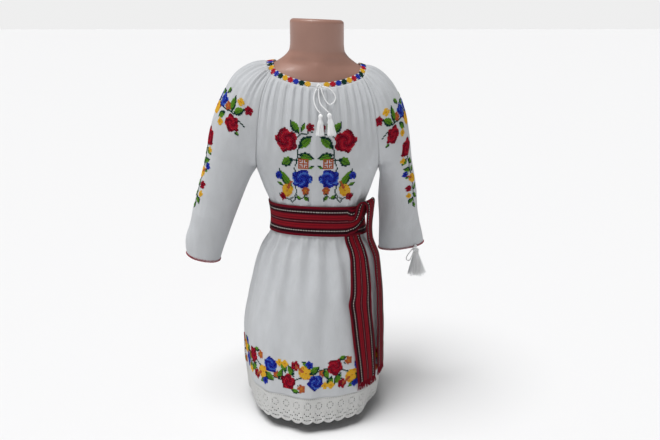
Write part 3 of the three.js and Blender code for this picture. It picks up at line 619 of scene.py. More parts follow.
class Nodes(Graph):
    """A material in the making."""

    def __init__(self, name: str, shade: Shade) -> None:
        """Start a material from a shade."""
        self.material = bpy.data.materials.new(name)
        self.material.use_nodes = True
        super().__init__(self.material.node_tree)
        self.shader = self.tree.nodes["Principled BSDF"]
        looks = {
            "Base Color": (*shade.colour, 1.0), "Roughness": shade.roughness, "Metallic": shade.metallic,
            "Specular IOR Level": shade.specular, "Sheen Weight": shade.sheen, "Sheen Roughness": 0.45,
            "Coat Weight": shade.coat,
        }
        for slot, value in looks.items():
            self.shader.inputs[slot].default_value = value

    def math(self, operation: str, *values: object) -> Socket:
        """Add a maths node over sockets and numbers."""
        return self.add("ShaderNodeMath", *values, operation=operation).outputs[0]

    def noise(self, vector: Socket, scale: float, detail: float = 3.0) -> Socket:
        """Add noise over a vector."""
        return self.add("ShaderNodeTexNoise", vector, i_Scale=scale, i_Detail=detail).outputs["Fac"]

    def stretched(self, vector: Socket, scale: Triple) -> Socket:
        """Scale a vector by axis."""
        return self.add("ShaderNodeMapping", vector, i_Scale=scale).outputs["Vector"]

    def ramp(self, value: Socket, stops: Sequence[tuple[float, Triple]], steps: bool = False) -> Socket:
        """Colour a value by stops, in steps or blended."""
        node = self.add("ShaderNodeValToRGB", value)
        ramp = node.color_ramp
        ramp.interpolation = "CONSTANT" if steps else "LINEAR"
        while len(ramp.elements) < len(stops):
            ramp.elements.new(1.0)
        for element, (place, colour) in zip(ramp.elements, stops):
            element.position = place
            element.color = (*colour, 1.0)
        return node.outputs["Color"]

    def blend(self, share: object, one: object, two: object, kind: str = "MIX") -> Socket:
        """Mix two colours by a share."""
        node = self.add("ShaderNodeMix", data_type="RGBA", blend_type=kind, i_Factor=share)
        for slot, value in (("A", one), ("B", two)):
            self.feed(node.inputs[slot], (*value, 1.0) if isinstance(value, tuple) else value)
        return node.outputs["Result"]

    def bump(self, layers: Sequence[tuple[Socket, float, float]]) -> None:
        """Stack bumps; each layer is a height, its strength and its depth in metres."""
        below: dict[str, Socket] = {}
        for height, strength, depth in layers:
            node = self.add("ShaderNodeBump", i_Height=height, i_Strength=strength, i_Distance=depth, **below)
            below = {"i_Normal": node.outputs["Normal"]}
        self.feed(self.shader.inputs["Normal"], node.outputs["Normal"])

    def paint(self, colour: Socket) -> None:
        """Wire a colour into the shader."""
        self.feed(self.shader.inputs["Base Color"], colour)

    def uv(self) -> Socket:
        """The piece's own place on its cloth, in millimetres."""
        return self.add("ShaderNodeUVMap", uv_map="Cloth").outputs["UV"]

    def split_uv(self) -> tuple[Socket, Socket]:
        """The two parts of that place."""
        parts = self.add("ShaderNodeSeparateXYZ", self.uv()).outputs
        return parts["X"], parts["Y"]

    def place(self) -> Socket:
        """Object coordinates."""
        return self.add("ShaderNodeTexCoord").outputs["Object"]

    def ribs(self, value: Socket, pitch: float) -> Socket:
        """Round ribs across a length, so far apart."""
        return self.math("ABSOLUTE", self.math("SINE", self.math("MULTIPLY", value, math.pi / pitch)))

    def fuzz(self, scale: float, strength: float, depth: float) -> Material:
        """Roughen a fibre finely, as its last step."""
        self.bump(((self.noise(self.place(), scale), strength, depth),))
        return self.material

    def weave(self, pitch: float) -> Socket:
        """Height of a plain weave with its threads so many millimetres apart."""
        x, y = (self.math("SINE", self.math("MULTIPLY", part, math.pi / pitch)) for part in self.split_uv())
        return self.math("MULTIPLY_ADD", x, y, self.math("MULTIPLY", self.math("ABSOLUTE", x), 0.4))


class Palette:
    """Makes the finishes of the dress, the form and the studio."""

    def cotton(self, name: str, white: Triple, sheen: float = 0.0) -> Material:
        """Make crinkled white cotton."""
        made = Nodes(name, Shade(white, 0.88, sheen=sheen, specular=0.2))
        place = made.place()
        crinkle = made.noise(made.stretched(place, (1.0, 1.0, 0.32)), 420.0, 5.0)
        soft = made.noise(made.stretched(place, (1.0, 1.0, 0.4)), 60.0, 3.0)
        warm = tuple(c * k for c, k in zip(white, (0.95, 0.95, 0.945)))
        light = tuple(c * 1.03 for c in white)
        made.paint(made.ramp(soft, ((0.3, warm), (0.7, light))))
        made.bump(((soft, 0.6, 0.0016), (crinkle, 0.6, 0.0007), (made.weave(0.5), 0.35, 0.00012)))
        return made.material

    def woven_belt(self) -> Material:
        """Make the striped belt weave, mirrored about its middle line."""
        made = Nodes("woven_belt", Shade((0.28, 0.008, 0.018), 0.9, specular=0.12))
        along, across = made.split_uv()
        half = 27.0
        share = made.math("DIVIDE", made.math("ABSOLUTE", made.math("SUBTRACT", across, half)), half)
        crimson, scarlet, black = (0.16, 0.004, 0.013), (0.25, 0.006, 0.014), (0.012, 0.0012, 0.004)
        maroon, wine = (0.036, 0.0014, 0.006), (0.085, 0.002, 0.009)
        stops = (
            (0.0, wine), (0.08, maroon), (0.13, scarlet), (0.25, wine), (0.28, scarlet), (0.42, crimson),
            (0.46, maroon), (0.5, wine), (0.53, black), (0.74, maroon), (0.78, black), (0.84, crimson),
            (0.88, wine), (0.91, crimson),
        )
        colour = made.ramp(share, stops, steps=True)
        run = made.math("ADD", along, 5000.0)
        # Dashes of a row: their pitch and length, the row's place and half width, their strength.
        for pitch, dash, row, reach, strength, tint in (
            (4.6, 2.0, 0.64, 0.032, 1.0, (0.78, 0.72, 0.66)), (2.2, 0.9, 0.0, 0.022, 0.55, (0.6, 0.3, 0.3)),
        ):
            on = made.math("LESS_THAN", made.math("MODULO", run, pitch), dash)
            on = made.math("MULTIPLY", on, made.math("COMPARE", share, row, reach))
            colour = made.blend(made.math("MULTIPLY", on, strength), colour, tint)
        wool = made.noise(made.stretched(made.uv(), (0.25, 1.4, 1.0)), 1.4, 3.0)
        tone = made.ramp(wool, ((0.25, (0.55,) * 3), (0.75, (1.35,) * 3)))
        made.paint(made.blend(0.55, colour, tone, "MULTIPLY"))
        warp, weft = made.ribs(across, 1.1), made.ribs(along, 1.55)
        made.bump(((wool, 0.4, 0.0006), (warp, 0.6, 0.0004), (weft, 0.6, 0.0003)))
        return made.material

    def cord(self) -> Material:
        """Make the twisted white cotton of the drawstrings and tassels."""
        made = Nodes("cotton_cord", Shade((0.9, 0.905, 0.91), 0.8, specular=0.25))
        around, along = made.split_uv()
        ply = made.ribs(made.math("MULTIPLY_ADD", around, 2.0, along), math.pi)
        made.bump(((ply, 0.6, 0.0004), (made.noise(made.place(), 1500.0), 0.3, 0.0002)))
        return made.material

    def thread(self) -> Material:
        """Make the embroidery thread, which takes each stitch's own colour."""
        made = Nodes("embroidery_thread", Shade((0.4, 0.01, 0.02), 0.8, specular=0.06))
        own = made.add("ShaderNodeAttribute", attribute_type="GEOMETRY", attribute_name="thread")
        tone = made.ramp(made.noise(made.place(), 900.0), ((0.3, (0.86,) * 3), (0.7, (1.08,) * 3)))
        made.paint(made.blend(1.0, own.outputs["Color"], tone, "MULTIPLY"))
        return made.fuzz(3200.0, 0.4, 0.0002)

    def edging(self) -> Material:
        """Make the crimson cotton that the cuffs are overcast with."""
        made = Nodes("crimson_edging", Shade(Thread.CRIMSON.value, 0.8, specular=0.06))
        return made.fuzz(2200.0, 0.4, 0.0002)

    def yarn(self) -> Material:
        """Make the dark crimson wool of the belt's fringe."""
        return Nodes("fringe_yarn", Shade((0.16, 0.003, 0.012), 0.9, specular=0.1)).fuzz(1500.0, 0.5, 0.0003)

    def skin(self) -> Material:
        """Make the smooth tan surface of the form."""
        made = Nodes("form_skin", Shade((0.37, 0.2, 0.152), 0.4, coat=0.16))
        tone = made.noise(made.place(), 14.0, 4.0)
        made.paint(made.ramp(tone, ((0.35, (0.345, 0.184, 0.14)), (0.65, (0.39, 0.213, 0.164)))))
        grain = made.noise(made.place(), 60.0, 5.0)
        rough = made.add("ShaderNodeMapRange", grain, i_To_Min=0.38, i_To_Max=0.48)
        made.feed(made.shader.inputs["Roughness"], rough.outputs["Result"])
        made.bump(((made.noise(made.place(), 380.0, 4.0), 0.12, 0.0004),))
        return made.material

    def metal(self) -> Material:
        """Make the brushed metal of the stand."""
        made = Nodes("brushed_steel", Shade((0.42, 0.43, 0.45), 0.34, metallic=1.0))
        grain = made.noise(made.stretched(made.place(), (1.0, 1.0, 9.0)), 260.0, 4.0)
        made.paint(made.ramp(grain, ((0.3, (0.36, 0.37, 0.39)), (0.7, (0.5, 0.51, 0.53)))))
        made.bump(((grain, 0.15, 0.0002),))
        return made.material

    def materials(self) -> dict[Finish, Material]:
        """Make one finish for each slot."""
        return {
            Finish.COTTON: self.cotton("white_cotton", (0.55, 0.565, 0.585), 0.1),
            Finish.BINDING: self.cotton("binding_cotton", (0.6, 0.605, 0.62)),
            Finish.LACE: self.cotton("cotton_lace", (0.6, 0.6, 0.59)),
            Finish.BELT: self.woven_belt(),
            Finish.CORD: self.cord(),
            Finish.FORM: self.skin(),
            Finish.STAND: self.metal(),
        }

    def floor(self) -> Material:
        """Make the floor's plain pale finish."""
        return Nodes("pale_floor", Shade((0.84, 0.84, 0.845), 0.85, specular=0.2)).material


def crumple(points: Array, pitch: float, seed: int) -> Array:
    """Height of the small creases of washed cotton, about -1 to 1.

    Args:
        points: Where, in millimetres.
        pitch: Distance between creases.
        seed: Picks the pattern.

    Returns:
        One height for each point.
    """
    rng = np.random.default_rng(seed)
    total = np.zeros(points.shape[:-1])
    for k in range(5):
        way = unit(rng.normal(0, 1, 3) * np.array([1.0, 1.0, 0.75]))
        bend = unit(rng.normal(0, 1, 3))
        phase, sway = rng.uniform(0, 6.28, 2)
        along = points @ bend / (pitch * rng.uniform(1.5, 2.4))
        line = points @ way / (pitch * rng.uniform(0.75, 1.3)) * 2.2 + 1.5 * np.sin(along + sway)
        ridge = 1.0 - 2.0 * np.abs(np.sin(line / 2 + phase)) ** 0.7
        total += ridge * (0.5 + 0.5 * np.sin(1.7 * along + phase))
    return total / 2.6


class Finish(Enum):
    """Material slots of the record."""

    COTTON = "cotton"
    BINDING = "binding"
    LACE = "lace"
    BELT = "belt"
    CORD = "cord"
    FORM = "form"
    STAND = "stand"


class Wardrobe:
    """Hands each finished piece to the frame: its body, its slot and the nodes it stands for."""

    def __init__(self, materials: Mapping[Finish, Material]) -> None:
        """Keep the materials that the pieces wear."""
        self.materials = materials

    def add(self, piece: Piece, finish: Finish, *replaces: str, wears: Material | None = None) -> Piece:
        """Dress a piece and place it.

        Args:
            piece: The finished piece.
            finish: Slot that its finish belongs to.
            replaces: Nodes that it stands for.
            wears: Material to wear instead of the slot's own.

        Returns:
            The same piece.
        """
        piece.data.materials.clear()
        piece.data.materials.append(wears or self.materials[finish])
        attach(piece, "root")
        if replaces:
            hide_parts(*replaces)
        LOG.info("%s: %s", piece.name, ", ".join(replaces) or "added")
        return piece


def lay(piece: Piece, sheet: Sheet, held: str, *rests_on: str) -> None:
    """Log how a piece of cloth was cut.

    Args:
        piece: The finished piece.
        sheet: The sheet it was made from.
        held: How it is held; not used.
        rests_on: What it lies on or hangs from; not used.
    """
    width, length, area = sheet.cut()
    LOG.info("%s: cut %.0f by %.0f mm, %.4f square metres", piece.name, width / MM, length / MM, area)


@dataclass(frozen=True)
class Studio:
    """Camera, floor and soft light."""

    camera_at: Triple = (0.0, -1.2, 0.699)
    pitch: float = -16.5
    yaw: float = -1.05
    lens: float = 37.47
    floor_size: float = 80.0
    sky: tuple[float, float, float, float] = (0.02, 0.15, 0.86, 0.23)
    key_turn: Triple = (7.0, -14.0, 0.0)
    key_strength: float = 2.95
    key_softness: float = 38.0

    def build_camera(self) -> None:
        """Set up the camera level with the collar, looking down at the dress."""
        camera = link("camera", bpy.data.cameras.new("camera"))
        camera.data.lens = self.lens
        camera.data.sensor_width = 36.0
        camera.location = self.camera_at
        camera.rotation_euler = Euler((math.radians(90 + self.pitch), 0.0, math.radians(self.yaw)))
        bpy.context.scene.camera = camera

    def add_key(self) -> None:
        """Hang the broad soft light that falls from above and a little from the front."""
        lamp = bpy.data.lights.new("key", "SUN")
        lamp.energy = self.key_strength
        lamp.angle = math.radians(self.key_softness)
        link("key", lamp).rotation_euler = Euler([math.radians(t) for t in self.key_turn])

    def build(self, floor_material: Material) -> None:
        """Lay the floor and light the scene."""
        half = self.floor_size / 2
        mesh = bpy.data.meshes.new("floor")
        corners = [(-half, -half, 0), (half, -half, 0), (half, half, 0), (-half, half, 0)]
        mesh.from_pydata(corners, [], [(0, 1, 2, 3)])
        floor = link("floor", mesh)
        floor.data.materials.append(floor_material)
        bpy.context.scene.view_settings.view_transform = "Standard"
        world = bpy.context.scene.world or bpy.data.worlds.new("studio")
        bpy.context.scene.world = world
        world.use_nodes = True
        sky = Graph(world.node_tree)
        shade = sky.tree.nodes["Background"].inputs
        shade["Color"].default_value = (1.0, 1.0, 1.0, 1.0)
        way = sky.add("ShaderNodeTexCoord").outputs["Generated"]
        height = sky.add("ShaderNodeSeparateXYZ", way).outputs["Z"]
        sky.feed(shade["Strength"], sky.add("ShaderNodeMapRange", height, *self.sky).outputs["Result"])
        self.add_key()


@dataclass
class DressCloth:
    """The front, the back and the two raglan sleeves, gathered into one neckline."""

    shape: DressShape
    wall: float = 0.9
    seam_gap: float = 0.01
    seam_valley: float = 0.18
    top: float = 0.0615
    step: float = 2.6

    def relief(self, side: Side, u: Array, v: Array) -> Array:
        """How far gathers, folds and creases stand out from the plain surface."""
        return self._sleeve_relief(side, u, v) if side in SLEEVES else self._body_relief(side, u, v)

    def _body_relief(self, side: Side, u: Array, v: Array) -> Array:
        """Relief of the front or back."""
        shape = self.shape
        down = 150.0 * v
        yoke = shape.neck_depth(down) * wave(u, side.waves, 1.0) * np.where(v < 1, 1.0, 0.5)
        high = shape.centre.read("front_z", np.minimum(v, 1.0))
        low = mix(shape.underarm_z, shape.lace_seam_z, np.maximum(v, 1.0) - 1)
        z = np.where(v < 1, high, low)
        degrees = shape.panel_degrees(side, u)
        rise = z - shape.belt_z(degrees)
        gathered = 1 - smooth(z, 440, 470)
        waist = shape.waist_depth(rise) * wave(u, shape.waist_waves, 3.0) * gathered
        gathers = (yoke + waist) * (1 - smooth(np.abs(u), 0.93, 1.0))
        return gathers + shape.skirt_fold(degrees, z) + self._fine_relief(side, u, v, z, rise)

    def _fine_relief(self, side: Side, u: Array, v: Array, z: Array, rise: Array) -> Array:
        """Small pleats under the casing and beside the belt, and the soft creases of worn cotton."""
        down = 150.0 * v
        phase = 0.0 if side is Side.FRONT else 1.7
        pleat = np.cos(math.pi * side.waves * 2.7 * (u + 0.02 * np.sin(11 * u + phase)))
        pleats = 0.55 * smooth(down, 9, 14) * (1 - smooth(down, 40, 100)) * pleat
        tuck = np.cos(math.pi * 27 * (u + 0.015 * np.sin(9 * u + phase)))
        tucks = 0.6 * (1 - smooth(np.abs(rise), 36, 85)) * smooth(np.abs(rise), 22, 30) * tuck
        long_fold = np.cos(23 * u + 1.3 * np.sin(0.011 * z + phase)) * np.cos(9 * u - 0.006 * z)
        folds = 0.7 * smooth(420 - z, 60, 160) * long_fold
        plain = self.shape.point(side, u, v)
        worn = 0.9 * crumple(plain, 38.0, 5) * smooth(down, 45, 110) * (1 - smooth(v, 1.75, 1.95))
        inside = 1 - smooth(np.abs(u), 0.93, 1.0)
        return (pleats + tucks + folds + worn) * inside + self._opening(side, u, v)

    def _opening(self, side: Side, u: Array, v: Array) -> Array:
        """The front's narrow placket: a flat fold between two sewn lines."""
        if side is not Side.FRONT:
            return np.zeros_like(u)
        across = 95.0 * u + 4.5
        line = np.exp(-(((np.abs(across) - 4.2) / 1.3) ** 2))
        fold = 0.5 * (1 - smooth(np.abs(across), 3.0, 4.6))
        return (fold - 0.75 * line) * smooth(v, 0.08, 0.14) * (1 - smooth(v, 1.12, 1.2))

    def _sleeve_relief(self, side: Side, u: Array, v: Array) -> Array:
        """Relief of a sleeve."""
        down = 150.0 * v
        phase = 0.0 if side is Side.LEFT else 2.0
        gathers = self.shape.neck_depth(down) * wave(u, side.waves, 2.0)
        creases = 1.5 * smooth(v, 0.7, 1.2) * np.cos(5 * u + 2.6 * v) * np.cos(7 * v)
        pleat = np.cos(math.pi * side.waves * 2.9 * (u + 0.02 * np.sin(11 * u + phase)))
        pleats = 0.9 * smooth(down, 9, 14) * (1 - smooth(down, 36, 110)) * pleat
        plain = self.shape.point(side, u, v)
        worn = crumple(plain, 30.0, 11 if side is Side.LEFT else 12)
        drape = 2.0 * mix(0.4, 1.0, smooth(v, 0.9, 1.3)) * worn * smooth(v, 0.2, 0.5)
        return (gathers + creases + pleats + drape * (1 - smooth(v, 1.93, 2.0))) * (
            1 - smooth(np.abs(u), 0.88, 1.0)
        )

    def surface(self, side: Side) -> Surface:
        """The plain surface of one panel as a function of u and v."""
        return lambda u, v: self.shape.point(side, u, v)

    def point(self, side: Side, u: Array, v: Array) -> Array:
        """Outer surface of a panel with all its relief."""
        u, v = np.broadcast_arrays(np.asarray(u, float), np.asarray(v, float))
        return raised(self.surface(side), u, v, side.outward, self.relief(side, u, v))

    def rows(self, side: Side) -> Array:
        """Places down the panel, about one step apart."""
        yoke = np.linspace(self.top, 1.0, int(150 / self.step) + 1)
        length, trim = (205.0, 0.0) if side in SLEEVES else (376.0, 0.0006)
        body = np.linspace(1.0, 2.0 - trim, int(length / self.step) + 1)
        return np.concatenate([yoke, body[1:]])

    def sheet(self, side: Side, columns: int) -> Sheet:
        """Lay out the outer surface of one panel.

        Args:
            side: Which panel.
            columns: Quads across it.

        Returns:
            Its sheet.
        """
        v = self.rows(side)[:, None]
        plain = self.surface(side)
        one = np.ones_like(v)
        edge = np.linalg.norm(plain(one, v) - plain(one * 0.999, v), axis=-1) / 0.001
        u = np.linspace(-1, 1, columns + 1)[None, :] * (1 - self.seam_gap / edge)
        points = self.point(side, u, v)
        run = lengths(points, 1)
        to_edge = np.minimum(run, run[:, -1:] - run)
        valley = self.seam_valley * (1 - smooth(to_edge, 0.0, 5.0)) ** 2
        points = points - normals(plain, u, np.broadcast_to(v, u.shape), side.outward) * valley[..., None]
        middle = columns // 2
        across = run - run[:, middle : middle + 1]
        down = np.broadcast_to(lengths(points, 0)[:, middle : middle + 1], across.shape)
        return Sheet(points, across, down, side.outward)

    def build(self, wardrobe: Wardrobe) -> dict[Side, Piece]:
        """Make the four panels, and give them back by side."""
        columns = {Side.FRONT: 150, Side.BACK: 140, Side.LEFT: 92, Side.RIGHT: 92}
        panels = {}
        for side, count in columns.items():
            node = f"sleeve_{side.value}" if side in SLEEVES else f"{side.value}_panel"
            sheet = self.sheet(side, count)
            panel = wardrobe.add(walled(sheet.piece(f"{node}_cloth"), self.wall), Finish.COTTON, node)
            lay(panel, sheet, "hung" if side in SLEEVES else "draped", "form_torso_skin")
            panels[side] = panel
        return panels


@dataclass
class HemLace:
    """The openwork edging round the hem, with scallops along its lower edge."""

    shape: DressShape
    drop: float = 42.4
    scallop: float = 5.0
    per_half: int = 20
    cells_across: int = 6
    cells_down: int = 12
    wall: float = 0.8

    def eyelet(self, column: int, row: int) -> float:
        """Radius of the hole in one cell, as a share of the cell; 0 leaves it whole."""
        if row == 0:
            return 0.2
        if row in (1, 6, self.cells_down - 1):
            return 0.0
        slant = column + 0.5 - self.cells_across / 2
        if row <= 5:
            return 0.27 if abs(abs(slant) + abs(row - 3.5) - 2.0) < 0.6 else 0.0
        ring = math.hypot(slant * 1.1, row - 6.0)
        return 0.29 if abs(ring - 4.2) < 0.5 or abs(ring - 2.0) < 0.5 else 0.0

    def flat(self) -> tuple[Array, Array]:
        """Lay out half of the lace flat.

        Returns:
            Points as (cells across, cells down), and faces.
        """
        columns, rows = self.per_half * self.cells_across, self.cells_down
        x, y = np.meshgrid(np.arange(3 * columns + 1) / 3, np.arange(3 * rows + 1) / 3)
        points = list(zip(x.ravel(), y.ravel()))
        width = 3 * columns + 1
        rim = [(0, 0), (1, 0), (2, 0), (3, 0), (3, 1), (3, 2), (3, 3), (2, 3), (1, 3), (0, 3), (0, 2), (0, 1)]
        faces = []
        for r in range(rows):
            for c in range(columns):
                corner = 3 * r * width + 3 * c
                radius = self.eyelet(c % self.cells_across, r)
                if not radius:
                    for j in range(3):
                        for i in range(3):
                            a = corner + j * width + i
                            faces.append([a, a + width, a + width + 1, a + 1])
                    continue
                first = len(points)
                for i, j in rim:
                    a = math.atan2(j / 3 - 0.5, i / 3 - 0.5)
                    points.append((c + 0.5 + radius * math.cos(a), r + 0.5 + radius * math.sin(a)))
                outer = [corner + j * width + i for i, j in rim]
                for k in range(12):
                    m = (k + 1) % 12
                    faces.append([outer[k], first + k, first + m, outer[m]])
        return np.array(points), np.array(faces)

    def build(self, wardrobe: Wardrobe) -> None:
        """Make both halves of the lace."""
        flat, faces = self.flat()
        share = flat[:, 1] / self.cells_down
        u = flat[:, 0] / (self.per_half * self.cells_across) * 2 - 1
        for side in (Side.FRONT, Side.BACK):
            degrees = self.shape.panel_degrees(side, u)
            hang = self.scallop * np.abs(np.sin(self.per_half * math.pi / 2 * (u + 1)))
            z = self.shape.lace_seam_z - self.drop * share - hang * share**3
            surface = lambda a, b: self.shape.skirt_ring(self.shape.panel_degrees(side, a), b)
            n = normals(surface, u, z, -side.outward)
            n = np.where((n[:, :2] * surface(u, z)[:, :2]).sum(axis=1)[:, None] < 0, -n, n)
            frill = 0.9 * share**1.5 * np.cos(math.pi * self.per_half * (u + 1))
            points = surface(u, z) + n * (self.shape.skirt_fold(degrees, z) + frill - 0.3)[:, None]
            turned = faces[:, ::-1] if side is Side.BACK else faces
            node = f"hem_lace_{side.value}"
            piece = mesh_piece(f"{node}_openwork", points, turned.tolist(), (flat * 3.5)[turned.ravel()])
            wardrobe.add(walled(piece, self.wall), Finish.LACE, node)
            rows = 3 * self.cells_down + 1
            plain = points[: rows * (3 * self.per_half * self.cells_across + 1)].reshape(rows, -1, 3)
            lay(piece, Sheet(plain, plain, plain), "gathered", f"{side.value}_panel_cloth")


@dataclass
class NeckBinding:
    """The band that binds the neck edge and holds the drawstring."""

    shape: DressShape
    depth: float = 0.0606
    roll: float = 0.35
    wall: float = 1.5
    columns: int = 480
    rows: int = 8

    def point(self, w: Array, v: Array) -> Array:
        """Outer surface of the band; v is 0 to 1 from its upper edge down."""
        surface = lambda a, b: self.shape.neck_point(a, b * self.depth)
        v = np.broadcast_to(v, np.broadcast(w, v).shape)
        w = np.broadcast_to(w, v.shape)
        bulge = self.roll * np.sin(math.pi * v) - 0.5 * (1 - smooth(v, 0, 0.12)) - 0.4 * smooth(v, 0.88, 1)
        pucker = 0.12 * np.sin(math.pi * 52 * w + 2 * np.sin(5 * w)) * smooth(v, 0.3, 1)
        return raised(surface, w, v, -1.0, bulge + pucker)

    def build(self, wardrobe: Wardrobe) -> None:
        """Make the band."""
        w = np.linspace(0, 4, self.columns, endpoint=False)[None, :] + 0.003
        v = np.linspace(0.0, 1.0, self.rows)[:, None]
        points = self.point(w, v)
        run = lengths(looped(points), 1)
        sheet = Sheet(points, run, np.broadcast_to(lengths(points, 0)[:, :1], run.shape), -1.0, closed=True)
        band = walled(sheet.piece("neck_binding_band"), self.wall)
        wardrobe.add(band, Finish.BINDING, "neck_binding")
        lay(band, sheet, "gathered", "front_panel_cloth", "back_panel_cloth")


# The hanging ends row by row from the root: degrees from the front, how far out, height and width.
TAIL_FRONT = Table(
    "row turn out z width",
    (
        (-1, 43, 1.9, 336, 33), (0, 42.5, 2.8, 327, 34), (1, 42, 5.9, 312, 34), (2, 38.5, 6.6, 282, 37),
        (3, 36.5, 6.4, 238, 42), (4, 35, 8, 224, 44), (5, 36.2, 6.8, 204, 43), (6, 39, 6, 150, 45),
        (7, 41.6, 6, 110, 45), (8, 43, 6, 84, 44),
    ),
)
TAIL_BACK = Table(
    "row turn out z width",
    (
        (-1, 55.5, 6.0, 361, 39), (0, 56, 8.4, 370, 40), (1, 57, 9.2, 386, 40), (2, 59, 13, 393, 37),
        (3, 62, 18, 386, 31), (4, 64, 19, 362, 26), (5, 64, 14, 318, 22), (6, 59.2, 8, 250, 22),
        (7, 58, 6.6, 160, 23), (8, 61, 6.2, 92, 26),
    ),
)


@dataclass
class WovenBelt:
    """The red woven belt: its band, the end that wraps over it and the two hanging ends."""

    shape: DressShape
    wall: float = 1.7
    ease: float = 0.95
    thickness: float = 2.0
    wrap_out: float = 4.9
    wrap: Table = Table(
        "turn low high",
        ((33, -0.86, 0.72), (41, -0.82, 0.84), (49, -0.66, 1.08), (57, -0.36, 1.3), (63, -0.1, 1.36)),
    )
    tails: Mapping[str, Table] = field(default_factory=lambda: {"front": TAIL_FRONT, "back": TAIL_BACK})

    def strip(self, name: str, points: Array) -> tuple[Piece, Sheet]:
        """Make a belt strip from its middle surface, rows running along its length."""
        down = np.broadcast_to(lengths(points, 0).mean(axis=1, keepdims=True), points.shape[:2])
        across = np.linspace(0, self.shape.belt_height, points.shape[1])
        sheet = Sheet(points, down, np.broadcast_to(across, points.shape[:2]))
        return walled(sheet.piece(name), self.wall, 0.0), sheet

    def tail_points(self, which: str, rows: int, columns: int) -> Array:
        """Middle surface of a hanging end, row by row from its root."""
        table = self.tails[which]
        s = np.linspace(-1, 8, rows)[:, None]
        place = np.linspace(-1, 1, columns)[None, :]
        turn, out, z, width = (table.read(column, s) for column in ("turn", "out", "z", "width"))
        middle = self.shape.skirt_ring(turn, z)
        radius = np.hypot(middle[..., 0], middle[..., 1])
        degrees = turn + np.degrees(place * width / 2 / radius)
        a = np.radians(degrees)
        outwards = stack(np.sin(a), -np.cos(a), np.zeros_like(a))
        cup = 0.5 * np.sin(3.1 * s + 1.0) * (place**2 - 0.4) * smooth(s, 1.0, 3.0)
        return self.shape.skirt_ring(degrees, z + 0 * place) + outwards * (out + cup)[..., None]

    def band(self) -> tuple[Piece, Sheet]:
        """Make the belt where it goes round the waist."""
        degrees = np.linspace(0, 360, 420, endpoint=False)[None, :]
        t = np.linspace(-1, 1, 25)[:, None]
        out = self.ease + self.thickness - 0.25 * np.cos(np.radians(degrees) * 6 + 3 * t) - 0.25
        out = out - 0.5 * np.abs(t) ** 8
        points = self.shape.over_waist(degrees, t, out * np.ones_like(t))
        run = lengths(looped(points), 1)
        width = np.broadcast_to((t + 1) / 2 * self.shape.belt_height, run.shape)
        sheet = Sheet(points, np.broadcast_to(run.mean(axis=0), run.shape), width, closed=True)
        return walled(sheet.piece("belt_band_weave"), self.wall), sheet

    def wrap_end(self) -> tuple[Piece, Sheet]:
        """Make the outer end where it crosses the band."""
        turn = np.linspace(33, 63, 60)[:, None]
        place = np.linspace(0, 1, 25)[None, :]
        leave = smooth(turn, 33, 41)
        low, high = mix(-1, self.wrap.read("low", turn), leave), mix(1, self.wrap.read("high", turn), leave)
        t = mix(low, high, place)
        out = mix(1.5, self.wrap_out, smooth(turn, 34, 43)) + 0.9 * smooth(t, 0.8, 1.2) * leave
        points = self.shape.over_waist(turn + 0 * t, t, out)
        return self.strip("belt_wrap_weave", points)

    def fringe(self, which: str, threads: ThreadMaker, finish: Material) -> Piece:
        """Make the twisted warp ends that hang below a belt end."""
        rng = np.random.default_rng(len(which))
        edge = self.tail_points(which, 170, 37)[-1]
        paths = []
        for k, root in enumerate(edge):
            swing = rng.normal(0, 0.9, 2)
            drop = 16.5 * (0.9 + 0.1 * math.sin(2.2 * k)) * rng.uniform(0.88, 1.0)
            stops = [
                root + (0, 0, 2.0),
                root - (0.3 * swing[0], 0.3 * swing[1], 0.3 * drop),
                root + (0.5 * swing[0], 0.4 * swing[1], -0.65 * drop),
                root + (swing[0], swing[1], -drop),
            ]
            paths.append(spline(stops, 3))
        return threads.sweep(f"belt_fringe_{which}_threads", paths, 0.62, finish, 6)

    def build(self, wardrobe: Wardrobe, threads: ThreadMaker, yarn: Material) -> None:
        """Make the belt.

        Args:
            wardrobe: Takes the finished pieces.
            threads: Sweeps the fringe.
            yarn: Finish of the fringe.
        """
        band, sheet = self.band()
        lay(wardrobe.add(band, Finish.BELT, "belt_band"), sheet, "stretched", "front_panel_cloth")
        wrap, sheet = self.wrap_end()
        lay(wardrobe.add(wrap, Finish.BELT, "belt_wrap"), sheet, "laid", band.name)
        for which in self.tails:
            tail, sheet = self.strip(f"belt_tail_{which}_weave", self.tail_points(which, 170, 21))
            wardrobe.add(tail, Finish.BELT, f"belt_tail_{which}")
            wardrobe.add(self.fringe(which, threads, yarn), Finish.BELT, f"belt_fringe_{which}", wears=yarn)
            lay(tail, sheet, "hung", band.name)


TORSO = Table(
    "z half front back y power",
    (
        (695, 42, 42, 42, 0, 2), (690, 45.5, 45.5, 45.5, 0, 2), (660, 45.5, 45, 45, 1, 2),
        (645, 47, 45, 46, 2, 2), (636, 53, 47, 48, 3, 1.9), (628, 63, 49, 50, 3, 1.6),
        (620.7, 75, 51, 52, 2, 1.42), (609, 98, 53, 54, 1, 1.5), (592, 113, 57, 56, 0, 1.7),
        (572, 121, 62, 57, 0, 2), (548, 121, 66, 58, 0, 2.1), (520, 111, 68, 58, 0, 2.1),
        (492, 97, 69, 57, 0, 2.1), (440, 89, 67, 54, 0, 2.1), (395, 80, 64, 51, 0, 2.1),
        (354, 77, 63, 50, 0, 2.1), (320, 81, 67, 54, 0, 2.1), (285, 93, 74, 64, 0, 2.1),
        (250, 98, 78, 72, 0, 2.1), (228, 96, 77, 72, 0, 2.1), (222, 91, 72, 67, 0, 2.1),
    ),
)


